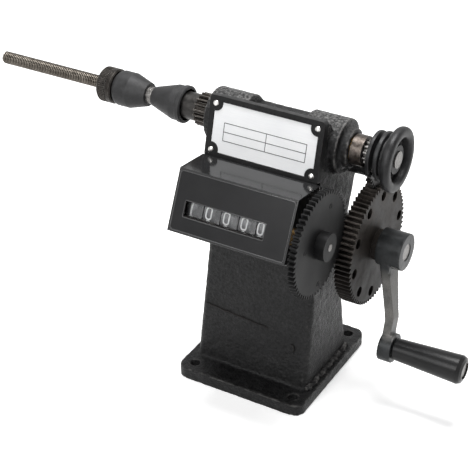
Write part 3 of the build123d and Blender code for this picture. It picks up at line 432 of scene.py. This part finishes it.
def lens_glass():
    """Thin window that lets the light and the bounced light through to the number wheels."""
    look = Look("lens_glass", IOR=1.1, Transmission_Weight=1.0)
    smears = look.noise(5, 4)
    colour = look.ramp(smears, (0.3, (0.93, 0.94, 0.94)), (0.7, (0.98, 0.985, 0.985)))
    look.finish(colour, look.ramp(smears, (0.35, 0.02), (0.75, 0.09)), [(smears, 0.004)])
    rays = look.node("LightPath").outputs
    lit_through = look.maths("MAXIMUM", rays["Is Shadow Ray"], rays["Is Diffuse Ray"])
    clear = look.node("BsdfTransparent")
    pane = look.node("MixShader", {
        0: lit_through, 1: look.shader.outputs[0], 2: clear.outputs[0]})
    look.tree.links.new(pane.outputs[0], look.tree.nodes["Material Output"].inputs["Surface"])
    return look.mat


def printed(name, dark, light, size, full, gloss_size, roughest):
    """Ink of the ruled lines or paint of the digits, a little uneven."""
    look = Look(name, Specular_IOR_Level=0.4)
    colour = look.ramp(look.noise(size, 4), (0.3, dark), (full, light))
    gloss = look.ramp(look.noise(gloss_size), (0.3, 0.4), (0.7, roughest))
    return look.finish(colour, gloss)


# ---------------------------------------------------------------- materials of the machine
ALONG_X = (0.04, 1, 1)      # marks that run along the shafts
ROUND_X = (4, 0.25, 0.25)   # lathe marks round the shafts

CAST_PAINTS = {
    "casting_paint": dict(
        dark=(0.006, 0.006, 0.0062), light=(0.010, 0.010, 0.0102), shine=0.32,
        lump=0.5, grain=0.7, wear=0.9, mottle=1.0),
    "cover_paint": dict(
        dark=(0.005, 0.005, 0.0052), light=(0.009, 0.009, 0.0094), shine=0.34,
        lump=0.07, grain=0.05, wear=0.4, mottle=0.4, bevel=0.5),
}
METALS = {
    "bronze": dict(
        dark=(0.34, 0.2, 0.07), light=(0.5, 0.33, 0.14), shine=0.3, metallic=1.0, spin=ALONG_X),
    "spindle_steel": dict(
        dark=(0.1, 0.097, 0.093), light=(0.3, 0.29, 0.28), shine=0.3, metallic=0.95,
        stain_and_shade=(0.04, 0.032, 0.026), oil=0.75, size=2.2, spin=ROUND_X,
        edge_colour=(0.42, 0.41, 0.4)),
    "screw_steel": dict(
        dark=(0.5, 0.49, 0.47), light=(0.75, 0.74, 0.72), shine=0.22, metallic=1.0,
        stain_and_shade=(0.2, 0.17, 0.14), oil=0.3, size=2.0, edge_colour=(0.85, 0.84, 0.82)),
    "nut_steel": dict(
        dark=(0.018, 0.016, 0.0145), light=(0.045, 0.041, 0.037), shine=0.34, metallic=0.85,
        stain_and_shade=(0.01, 0.008, 0.006), oil=0.6, size=3.0, spin=ROUND_X,
        edge_colour=(0.16, 0.15, 0.14)),
    "cone_iron": dict(
        dark=(0.02, 0.02, 0.0205), light=(0.038, 0.038, 0.039), shine=0.46, metallic=0.35,
        stain_and_shade=(0.014, 0.013, 0.012), oil=0.5, size=6.0, spin=ROUND_X,
        edge_colour=(0.07, 0.068, 0.065), rough_bump=0.02),
    "hub_iron": dict(
        dark=(0.02, 0.019, 0.0185), light=(0.05, 0.048, 0.046), shine=0.34, metallic=0.8,
        stain_and_shade=(0.012, 0.01, 0.008), oil=0.6, size=4.0, spin=ROUND_X,
        edge_colour=(0.14, 0.13, 0.12)),
    "pinion_steel": dict(
        dark=(0.018, 0.0155, 0.0135), light=(0.05, 0.044, 0.039), shine=0.36, metallic=0.8,
        stain_and_shade=(0.01, 0.008, 0.006), oil=0.7, size=3.0, edge_colour=(0.32, 0.3, 0.28)),
    # Painted shade: past X 52.9, in the narrow gap by the pulley, the collar's steel is painted
    # near black
    "collar_steel": dict(
        dark=(0.04, 0.034, 0.03), light=(0.13, 0.112, 0.1), shine=0.3, metallic=1.0,
        stain_and_shade=(0.02, 0.014, 0.011), oil=0.85, size=2.6, spin=ROUND_X,
        edge_colour=(0.3, 0.28, 0.26), rough_bump=0.02, fade=("X", 52.6, 52.9, 0.95)),
    "pulley_iron": dict(
        dark=(0.014, 0.014, 0.0145), light=(0.032, 0.032, 0.033), shine=0.36, metallic=0.5,
        stain_and_shade=(0.009, 0.0085, 0.008), oil=0.5, size=5.0, spin=ROUND_X,
        edge_colour=(0.16, 0.155, 0.15), rough_bump=0.02),
    # The crank gear is painted darker towards the bottom, from Z 112 down to Z 72
    "gear_iron": dict(
        dark=(0.010, 0.0088, 0.0078), light=(0.07, 0.06, 0.053), shine=0.4, metallic=0.12,
        stain_and_shade=(0.005, 0.004, 0.0035), oil=0.85, size=10.0, edge_colour=(0.12, 0.108, 0.098),
        rough_bump=0.02, fade=("Z", 112.0, 72.0, 0.85), specular=0.1),
    "idler_black": dict(
        dark=(0.006, 0.0055, 0.005), light=(0.014, 0.012, 0.011), shine=0.4, metallic=0.5,
        stain_and_shade=(0.004, 0.003, 0.003), oil=0.5, size=3.0),
    "carry_brass": dict(
        dark=(0.42, 0.27, 0.08), light=(0.6, 0.42, 0.16), shine=0.28, metallic=1.0,
        stain_and_shade=(0.2, 0.12, 0.05), oil=0.4, size=3.0),
}
MOULDED = {
    "grip_plastic": dict(
        dark=(0.006, 0.006, 0.0063), light=(0.01, 0.01, 0.0103), shine=0.27, bump=0.02,
        edge=0.35, dust=0.2, specular=0.18),
    "case_paint": dict(
        dark=(0.012, 0.012, 0.0125), light=(0.016, 0.016, 0.0165), shine=0.09, bump=0.003,
        edge=0.6, dust=0.06),
    "panel_paint": dict(
        dark=(0.0095, 0.0095, 0.0102), light=(0.0115, 0.0115, 0.0122), shine=0.2, bump=0.003,
        edge=0.3, dust=0.03, specular=0.2),
    "wheel_plastic": dict(
        dark=(0.1, 0.1, 0.104), light=(0.18, 0.18, 0.186), shine=0.34, bump=0.01, edge=0.2,
        dust=0.2),
    # Painted highlight: the beads round the panel and the window are painted paler than the case
    "bead_paint": dict(
        dark=(0.03, 0.03, 0.031), light=(0.05, 0.05, 0.051), shine=0.2, bump=0.004, edge=0.2,
        dust=0.1),
    "well_plastic": dict(
        dark=(0.05, 0.05, 0.052), light=(0.11, 0.11, 0.113), shine=0.3, bump=0.01, edge=0.2,
        dust=0.2),
    "counter_gear_plastic": dict(
        dark=(0.005, 0.005, 0.0052), light=(0.009, 0.009, 0.0092), shine=0.42, bump=0.02,
        edge=0.15, dust=0.12, specular=0.1),
}

looks = {
    "rod_steel": rod_steel(),
    "arm_paint": arm_steel(),
    "plate_metal": brushed_plate(),
    "lens_glass": lens_glass(),
    "plate_ink": printed(
        "plate_ink", dark=(0.012, 0.012, 0.014), light=(0.04, 0.04, 0.045), size=1.5, full=0.7,
        gloss_size=3, roughest=0.55),
    "digit_white": printed(
        "digit_white", dark=(0.85, 0.85, 0.85), light=(0.95, 0.95, 0.95), size=0.8, full=0.65,
        gloss_size=2, roughest=0.6),
}
for make, table in ((cast_paint, CAST_PAINTS), (worn_metal, METALS), (moulded, MOULDED)):
    for name, values in table.items():
        looks[name] = make(name, **values)

slots = {part["node"]: part["material_slot"] for part in frame["record"]["subparts"]}
slots["idler_gear"] = "idler_black"
for name, obj in nodes.items():
    obj.data.materials.clear()
    obj.data.materials.append(looks[slots[name]])


# ---------------------------------------------------------------- cast surfaces
def cast_skin(name, voxel, soften, depth, size):
    """Rounds the edges of a casting and gives its skin real bumps, all inwards."""
    obj = nodes[name]
    remesh = obj.modifiers.new("skin", "REMESH")
    remesh.mode = "VOXEL"
    remesh.voxel_size = voxel * MM
    remesh.use_smooth_shade = True
    smooth = obj.modifiers.new("soften", "SMOOTH")
    smooth.factor = 0.5
    smooth.iterations = soften
    pattern = bpy.data.textures.new(name + "_bumps", "CLOUDS")
    pattern.noise_scale = size * MM
    pattern.noise_depth = 2
    rough = obj.modifiers.new("rough", "DISPLACE")
    rough.texture = pattern
    rough.texture_coords = "LOCAL"
    rough.mid_level = 1.0
    rough.strength = depth * MM


cast_skin("body_casting", voxel=0.75, soften=2, depth=0.5, size=4.0)
cast_skin("crank_arm", voxel=0.4, soften=3, depth=0.12, size=3.0)


# ---------------------------------------------------------------- marks left by the mould
def metal_bead(path, radius, wobble, around=10):
    """Uneven round bead of metal along a path of points in millimetres."""
    end = len(path) - 1
    points = []
    for i, here in enumerate(path):
        ahead = Vector(path[min(i + 1, end)]) - Vector(path[max(i - 1, 0)])
        side = ahead.cross(Vector((0, 0, 1))).normalized()
        over = side.cross(ahead).normalized()
        taper = min(1.0, 0.25 + 0.5 * min(i, end - i))
        for s in range(around):
            b = 2 * math.pi * s / around
            uneven = 1 + wobble * math.sin(1.7 * i + 2 * b) + wobble * math.sin(0.61 * i - b)
            offset = (side * math.cos(b) + over * math.sin(b)) * radius * taper * uneven
            points.append(tuple(Vector(here) + offset))
    last = end * around
    caps = [tuple(range(around)), tuple(last + s for s in range(around))]
    return mesh_from("metal_bead", points, skin(len(path), around) + caps)


def swaying(start, end, step, sway):
    """Points from start to end, swaying a little up and down."""
    start, end = Vector(start), Vector(end)
    count = max(3, int((end - start).length / step))
    return [
        tuple(start.lerp(end, i / count) + Vector((0, 0, sway * math.sin(0.9 * i))))
        for i in range(count + 1)]


FOOT_X, FOOT_FRONT, FOOT_BACK, BASE_TOP = 38.2, -28.0, 26.5, 8.0
MOULD_LINE = ((-34.6, -23.0, 44.3), (9.4, -23.5, 40.9))
MOULD_CURL = (
    (24.6, -24.3, 34.6), (25.6, -24.2, 35.2), (26.7, -24.4, 34.9), (27.4, -24.6, 33.8),
    (27.7, -24.8, 32.4), (27.6, -25.0, 31.0), (27.3, -25.2, 29.8))
foot_line = ((FOOT_X, FOOT_BACK, BASE_TOP), (FOOT_X, FOOT_FRONT, BASE_TOP))
seams = (
    ("mould_line", "idler_black",
     metal_bead(swaying(*MOULD_LINE, step=1.1, sway=0.12), radius=0.42, wobble=0.18)),
    ("foot_bead", "casting_paint",
     metal_bead(swaying(*foot_line, step=0.9, sway=0.2), radius=2.1, wobble=0.2)),
    ("mould_curl", "idler_black", metal_bead(MOULD_CURL, radius=0.5, wobble=0.15)),
)
for name, seam_look, mesh in seams:
    add_piece(name, mesh, "frame", looks[seam_look])


# ---------------------------------------------------------------- name plate and its screws
PLATE_DEPTH = 0.4                       # the plate lies this far behind the cover's front
LINE, LINE_PROUD, LINE_SUNK = 0.4, 0.05, 0.1
TABLE_X = (-25.6, 1.6, 26.9)
TABLE_UP = (3.4, -1.9, -7.1)
SCREW_X, SCREW_UP = 32.3, 13.6
HEAD_RADIUS, HEAD_RISE, HEAD_AROUND, HEAD_RINGS = 1.7, 0.95, 24, 5


def ruled(x0, x1, up0, up1):
    """Thin flat bar on the name plate."""
    return block((x0, up0, PLATE_DEPTH + LINE_SUNK), (x1, up1, PLATE_DEPTH - LINE_PROUD),
                 on_cover)


table = [ruled(TABLE_X[0], TABLE_X[-1], up - LINE / 2, up + LINE / 2) for up in TABLE_UP]
table += [ruled(x - LINE / 2, x + LINE / 2, TABLE_UP[-1], TABLE_UP[0]) for x in TABLE_X]
add_piece("plate_table", join_parts("plate_table", table), "frame",
          looks["plate_ink"], smooth=False)


def screw_head(x, up):
    """Low domed head on the cover."""
    points, faces = [on_cover(x, up, -HEAD_RISE)], []
    for ring in range(1, HEAD_RINGS + 1):
        a = ring / HEAD_RINGS * math.pi / 2
        r = HEAD_RADIUS * math.sin(a)
        for s in range(HEAD_AROUND):
            b = 2 * math.pi * s / HEAD_AROUND
            points.append(on_cover(
                x + r * math.cos(b), up + r * math.sin(b), -HEAD_RISE * math.cos(a)))
    for s in range(HEAD_AROUND):
        t = (s + 1) % HEAD_AROUND
        faces.append((0, 1 + s, 1 + t))
        for ring in range(HEAD_RINGS - 1):
            i = 1 + ring * HEAD_AROUND
            faces.append((i + s, i + HEAD_AROUND + s, i + HEAD_AROUND + t, i + t))
    return points, faces


heads = [screw_head(sx * SCREW_X, sy * SCREW_UP) for sx in (-1, 1) for sy in (-1, 1)]
screws = add_piece("cover_screw_heads", join_parts("cover_screw_heads", heads), "frame",
                   looks["screw_steel"])
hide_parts("cover_screws")

# ---------------------------------------------------------------- thread of the winding rod
ROD_TIP, ROD_END, THREAD_END = -201.3, -57.8, -89.5
THREAD_PITCH, THREAD_R, THREAD_ROOT = 1.25, 4.0, 3.3
TIP_CONE, TIP_CHAMFER, LEAD_IN, RUN_OUT = 0.8, 0.8, 1.6, 0.5
PER_PITCH, ROD_AROUND = 6, 24


def rod_mesh():
    """Rod with a true right-hand helical thread, plain where the inner cone sits."""
    stations = []
    x = ROD_TIP + TIP_CONE
    while x < THREAD_END:
        stations.append(x)
        x += THREAD_PITCH / PER_PITCH
    stations += [THREAD_END + RUN_OUT, ROD_END]
    points = []
    for x in stations:
        lead = min(1.0, (x - ROD_TIP) / LEAD_IN)
        for s in range(ROD_AROUND):
            turn = s / ROD_AROUND
            wave = abs(((x / THREAD_PITCH - turn) % 1.0) * 2 - 1)
            r = THREAD_ROOT - TIP_CHAMFER * (1 - lead) + (THREAD_R - THREAD_ROOT) * wave * lead
            if x > THREAD_END:
                r = THREAD_R
            points.append(turned_about(SPINDLE, x, r, 2 * math.pi * turn))
    faces = skin(len(stations), ROD_AROUND)
    tip, end = len(points), len(points) + 1
    points += [(ROD_TIP, *SPINDLE), (ROD_END, *SPINDLE)]
    last = (len(stations) - 1) * ROD_AROUND
    for s in range(ROD_AROUND):
        t = (s + 1) % ROD_AROUND
        faces += [(tip, t, s), (end, last + s, last + t)]
    return mesh_from("rod_thread", points, faces)


rod = add_piece("rod_thread", rod_mesh(), "spindle", looks["rod_steel"])
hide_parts("winding_rod")

# ---------------------------------------------------------------- pulley with its rounded rim
PULLEY_PROFILE = (
    (57.8, 5.0, 0), (57.8, 14.0, 0.7), (60.0, 14.0, 0.4), (60.6, 9.5, 0.3), (62.0, 9.5, 0.3),
    (62.6, 14.1, 0.4), (62.9, 14.5, 0.4), (65.2, 14.5, 1.0), (65.2, 12.0, 0.4),
    (67.2, 12.2, 0.8), (68.6, 18.9, 3.4), (74.0, 18.9, 3.0),
    (74.0, 13.0, 2.6), (68.2, 12.0, 1.0), (68.2, 8.5, 0.5), (71.4, 8.5, 0.5), (71.4, 5.0, 0),
)
DRILL_X, DRILL_R, DRILL_LENGTH, DRILL_OUT = 61.3, 2.3, 12.0, 11.0
DRILL_ANGLE = math.radians(215.0)
SHARP_ANGLE = math.radians(40)

pulley = add_piece("pulley_body", lathe("pulley_body", rounded(PULLEY_PROFILE), SPINDLE),
                   "spindle", looks["pulley_iron"])
drill_mesh = bpy.data.meshes.new("drill")
drill_bm = bmesh.new()
bmesh.ops.create_cone(
    drill_bm, cap_ends=True, segments=32, radius1=DRILL_R * MM, radius2=DRILL_R * MM,
    depth=DRILL_LENGTH * MM)
outwards = Vector((0, math.cos(DRILL_ANGLE), math.sin(DRILL_ANGLE)))
drill_place = Vector((DRILL_X, *SPINDLE)) * MM + outwards * DRILL_OUT * MM
drill_turn = outwards.to_track_quat("Z", "X").to_matrix().to_4x4()
bmesh.ops.transform(
    drill_bm, matrix=Matrix.Translation(drill_place) @ drill_turn, verts=drill_bm.verts)
drill_bm.to_mesh(drill_mesh)
drill_bm.free()
drill = add_object("drill", drill_mesh)
cut = pulley.modifiers.new("cut", "BOOLEAN")
cut.operation = "DIFFERENCE"
cut.object = drill
cut.solver = "EXACT"
cut_mesh = final_mesh(pulley)
pulley.modifiers.clear()
pulley.data = cut_mesh
bpy.data.objects.remove(drill)
pulley.data.set_sharp_from_angle(angle=SHARP_ANGLE)
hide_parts("belt_pulley")

# ------------------------------------------------- well and guards between window and wheels
WELL_X0, WELL_X1, WELL_MID, WELL_H, WELL_WALL = -30.2, 24.8, 21.97, 8.2, 1.6
WELL_NEAR, WELL_FAR = 2.2, 5.9
GUARD_NEAR, GUARD_FAR, GUARD_HALF, GUARD_OVER = 5.7, 6.9, 1.75, 1.0
WHEELS = 5
upper, lower = WELL_MID - WELL_H / 2, WELL_MID + WELL_H / 2
well = [
    block((x0, down0, WELL_NEAR), (x1, down1, WELL_FAR), on_face)
    for x0, x1, down0, down1 in (
        (WELL_X0, WELL_X1, upper - WELL_WALL, upper),
        (WELL_X0, WELL_X1, lower, lower + WELL_WALL),
        (WELL_X0 - WELL_WALL, WELL_X0, upper, lower),
        (WELL_X1, WELL_X1 + WELL_WALL, upper, lower))]
add_piece("window_well", join_parts("window_well", well), "frame",
          looks["idler_black"], smooth=False)
guards = []
for gap in range(WHEELS - 1):
    mid = WHEEL_X + WHEEL_PITCH * (gap + 0.5)
    guards.append(block((mid - GUARD_HALF, upper - GUARD_OVER, GUARD_NEAR),
                        (mid + GUARD_HALF, lower + GUARD_OVER, GUARD_FAR), on_face))
add_piece("wheel_guards", join_parts("wheel_guards", guards), "frame",
          looks["well_plastic"], smooth=False)


def face_bead(name, x0, x1, down0, down1, corner, radius, rise, around=8):
    """Thin round bead along a rounded rectangle on the counter's face."""
    points = []
    for cx, sx, cd, sd, start in (
            (x1, 1, down0, -1, 0), (x1, 1, down1, 1, 90),
            (x0, -1, down1, 1, 180), (x0, -1, down0, -1, 270)):
        for step in range(5):
            a = math.radians(start + step * 22.5)
            nx, nd = math.sin(a), -math.cos(a)
            x, down = cx - sx * corner + corner * nx, cd - sd * corner + corner * nd
            for s in range(around):
                b = 2 * math.pi * s / around
                out, depth = radius * math.cos(b), radius - rise - radius * math.sin(b)
                points.append(on_face(x + out * nx, down + out * nd, depth))
    return mesh_from(name, points, skin(len(points) // around, around, loop=True))


# Both beads wear the paler paint, a painted highlight along the panel's and the window's edges
BEADS = (
    ("panel_bead", dict(x0=-34.9, x1=37.5, down0=1.3, down1=35.2, corner=1.6, radius=0.3,
                        rise=0.12)),
    ("window_bead", dict(x0=-28.4, x1=23.0, down0=17.2, down1=26.75, corner=0.5, radius=0.28,
                         rise=0.1)),
)
for name, shape in BEADS:
    add_piece(name, face_bead(name, **shape), "frame", looks["bead_paint"])

# ---------------------------------------------------------------- digits on the number wheels
DIGIT_W, DIGIT_H = 4.6, 7.9
GLYPH_W = 0.68                          # width of a glyph, one unit high, that is DIGIT_W wide
DIGIT_SHIFT, LAST_SHIFT = -0.3, -1.0
DIGIT_LIFT, DIGIT_THICK = 0.05, 0.06
DIGIT_STEP = 360 / 10                   # degrees between the digits of a wheel
STRIPS = 14                             # a glyph is cut into strips that bend round the wheel
SHOWN = (1, 0, 0, 0, 0)


def flat_digit(digit):
    """Flat mesh of one digit, centred, one unit high, cut into thin strips."""
    curve = bpy.data.curves.new("digit", "FONT")
    curve.body = str(digit)
    curve.offset = 0.014
    curve.resolution_u = 6
    obj = add_object("digit", curve)
    mesh = final_mesh(obj)
    bpy.data.objects.remove(obj)
    bm = bmesh.new()
    bm.from_mesh(mesh)
    xs = [v.co.x for v in bm.verts]
    ys = [v.co.y for v in bm.verts]
    middle = ((min(xs) + max(xs)) / 2, (min(ys) + max(ys)) / 2)
    height = max(ys) - min(ys)
    for i in range(1, STRIPS):
        level = min(ys) + height * i / STRIPS
        geometry = bm.verts[:] + bm.edges[:] + bm.faces[:]
        bmesh.ops.bisect_plane(
            bm, geom=geometry, plane_co=(0, level, 0), plane_no=(0, 1, 0), dist=1e-6)
    bm.verts.index_update()
    points = [((v.co.x - middle[0]) / height, (v.co.y - middle[1]) / height) for v in bm.verts]
    faces = [tuple(v.index for v in face.verts) for face in bm.faces]
    bm.free()
    return points, faces


def flat_zero(half_width=0.31, half_height=0.5, corner=0.27, stroke=0.13, arc=6, side=6):
    """Flat upright ring with round corners, centred, one unit high."""
    points = []
    for inset in (0.0, stroke):
        w, h, r = half_width - inset, half_height - inset, corner - inset * 0.9
        for sx, sy, start in ((1, 1, 0), (-1, 1, 90), (-1, -1, 180), (1, -1, 270)):
            for step in range(arc + 1):
                a = math.radians(start + 90 * step / arc)
                points.append((sx * (w - r) + r * math.cos(a), sy * (h - r) + r * math.sin(a)))
            if sx != sy:
                points += [(sx * w, sy * (h - r) * (1 - 2 * k / side)) for k in range(1, side)]
    return points, skin(2, len(points) // 2)


glyphs = [flat_zero()] + [flat_digit(d) for d in range(1, 10)]
for wheel, shown in enumerate(SHOWN):
    middle_x = WHEEL_X + WHEEL_PITCH * wheel + DIGIT_SHIFT
    if wheel == WHEELS - 1:
        middle_x += LAST_SHIFT
    points, faces = [], []
    for digit, (glyph_points, glyph_faces) in enumerate(glyphs):
        centre = math.radians(180 - FACE_LEAN - DIGIT_STEP * (digit - shown))
        start = len(points)
        for u, v in glyph_points:
            points.append(turned_about(
                WHEEL_AXLE, middle_x + u * DIGIT_W / GLYPH_W, WHEEL_R + DIGIT_LIFT,
                centre - v * DIGIT_H / WHEEL_R))
        faces += [tuple(start + i for i in face) for face in glyph_faces]
    name = f"digits_{wheel + 1}"
    digits = add_piece(name, mesh_from(name, points, faces, outwards=False),
                       f"wheel_{wheel + 1}", looks["digit_white"])
    thicken = digits.modifiers.new("thick", "SOLIDIFY")
    thicken.thickness = DIGIT_THICK * MM
    thicken.offset = 0

# ---------------------------------------------------------------- marks on the counter gear
GEAR_FACE_X = 51.9
MARK_PROFILE = ((-0.05, 1.0), (0.18, 1.18), (0.18, 1.42), (-0.05, 1.6))   # height and radius
MARK_PLACES = ((21.9, 58), (18.4, 166), (24.8, 267))    # radius and angle on the gear's face
MARK_STEPS = 40
mark_outline = [(GEAR_FACE_X + rise, radius) for rise, radius in MARK_PROFILE]
for number, (out, degrees) in enumerate(MARK_PLACES):
    name = f"gear_mark_{number + 1}"
    centre = turned_about(COUNTER_INPUT, GEAR_FACE_X, out, math.radians(degrees))[1:]
    add_piece(name, lathe(name, mark_outline, centre, MARK_STEPS), "counter_drive",
              looks["counter_gear_plastic"])

# ---------------------------------------------------------------- floor and world
FLOOR_HALF = 3                          # metres
white = Look("floor_white")
white.tree.nodes.remove(white.shader)
floor_tone = white.ramp(white.noise(60, 2), (0.3, 0.80), (0.7, 0.82))
diffuse = white.node("BsdfDiffuse", {"Color": floor_tone})
distance = white.node("VectorMath", {0: white.place}, operation="LENGTH").outputs["Value"]
level = white.node("MapRange", {
    "Value": distance, "From Min": 350.0, "From Max": 1500.0, "To Min": 0.6, "To Max": 1.0})
glow = white.node("Emission", {
    "Color": (1, 1, 1, 1),
    "Strength": white.maths("MULTIPLY", seen_directly(white.tree), level.outputs[0])})
both = white.node("AddShader", {0: diffuse.outputs[0], 1: glow.outputs[0]})
white.tree.links.new(both.outputs[0], white.tree.nodes["Material Output"].inputs["Surface"])
floor_mesh = bpy.data.meshes.new("floor")
floor_mesh.from_pydata(
    [(sx * FLOOR_HALF, sy * FLOOR_HALF, 0) for sx, sy in ((-1, -1), (1, -1), (1, 1), (-1, 1))],
    [], [(0, 1, 2, 3)])
floor_mesh.materials.append(white.mat)
floor = add_object("floor", floor_mesh)

# White for the camera, glass and gloss; soft light, strongest from behind and the left
world = bpy.data.worlds.new("studio")
bpy.context.scene.world = world
world.use_nodes = True
sky = world.node_tree
background = sky.nodes["Background"]
background.inputs["Color"].default_value = (1, 1, 1, 1)
direction = shader_node(sky, "SeparateXYZ", {
    0: shader_node(sky, "TexCoord").outputs["Generated"]}).outputs
from_behind = shader_node(sky, "MapRange", {
    "Value": direction["Y"], "From Min": -0.9, "From Max": 0.6, "To Min": 0.023, "To Max": 0.04})
from_left = shader_node(sky, "MapRange", {
    "Value": direction["X"], "From Min": -0.3, "From Max": 0.8, "To Min": 1.0, "To Max": 0.3})
light = shader_node(sky, "Math", {
    0: from_behind.outputs["Result"], 1: from_left.outputs["Result"]}, operation="MULTIPLY")
strength = shader_node(sky, "Mix", {
    "Factor": seen_directly(sky), "A": light.outputs[0], "B": 1.0})
sky.links.new(strength.outputs["Result"], background.inputs["Strength"])


# ---------------------------------------------------------------- lamps and camera
def softbox(name, place, target, size, power):
    """Rectangular area lamp, in metres and watts, turned to its target."""
    data = bpy.data.lights.new(name, "AREA")
    data.shape = "RECTANGLE"
    data.size, data.size_y = size
    data.energy = power
    lamp = add_object(name, data)
    lamp.location = place
    lamp.rotation_mode = "QUATERNION"
    lamp.rotation_quaternion = (Vector(target) - Vector(place)).to_track_quat("-Z", "Y")


softbox("key", place=(-0.12, -1.0, 0.75), target=(0, 0, 0.12), size=(0.6, 0.6), power=8.8)
softbox("top", place=(0.0, 0.1, 1.0), target=(0, 0, 0.1), size=(0.5, 0.35), power=14)

AZIMUTH, ELEVATION, ROLL = (math.radians(v) for v in (30.33, 32.18, 0.40))
CAMERA_PLACE = (0.3348, -0.6180, 0.5329)
SENSOR_WIDTH, FOCAL_PIXELS, PHOTO_PIXELS = 36, 1400, 470
right = Vector((math.cos(AZIMUTH), math.sin(AZIMUTH), 0))
back = Vector((
    math.sin(AZIMUTH) * math.cos(ELEVATION), -math.cos(AZIMUTH) * math.cos(ELEVATION),
    math.sin(ELEVATION)))
up = back.cross(right)
right, up = (
    math.cos(ROLL) * right - math.sin(ROLL) * up, math.sin(ROLL) * right + math.cos(ROLL) * up)
turn = Matrix((right, up, back)).transposed().to_4x4()
camera = add_object("camera", bpy.data.cameras.new("camera"))
camera.matrix_world = Matrix.Translation(CAMERA_PLACE) @ turn
camera.data.sensor_width = SENSOR_WIDTH
camera.data.lens = SENSOR_WIDTH * FOCAL_PIXELS / PHOTO_PIXELS
camera.data.clip_start = 0.05
camera.data.clip_end = 20
bpy.context.scene.camera = camera
bpy.context.scene.view_settings.view_transform = "Standard"
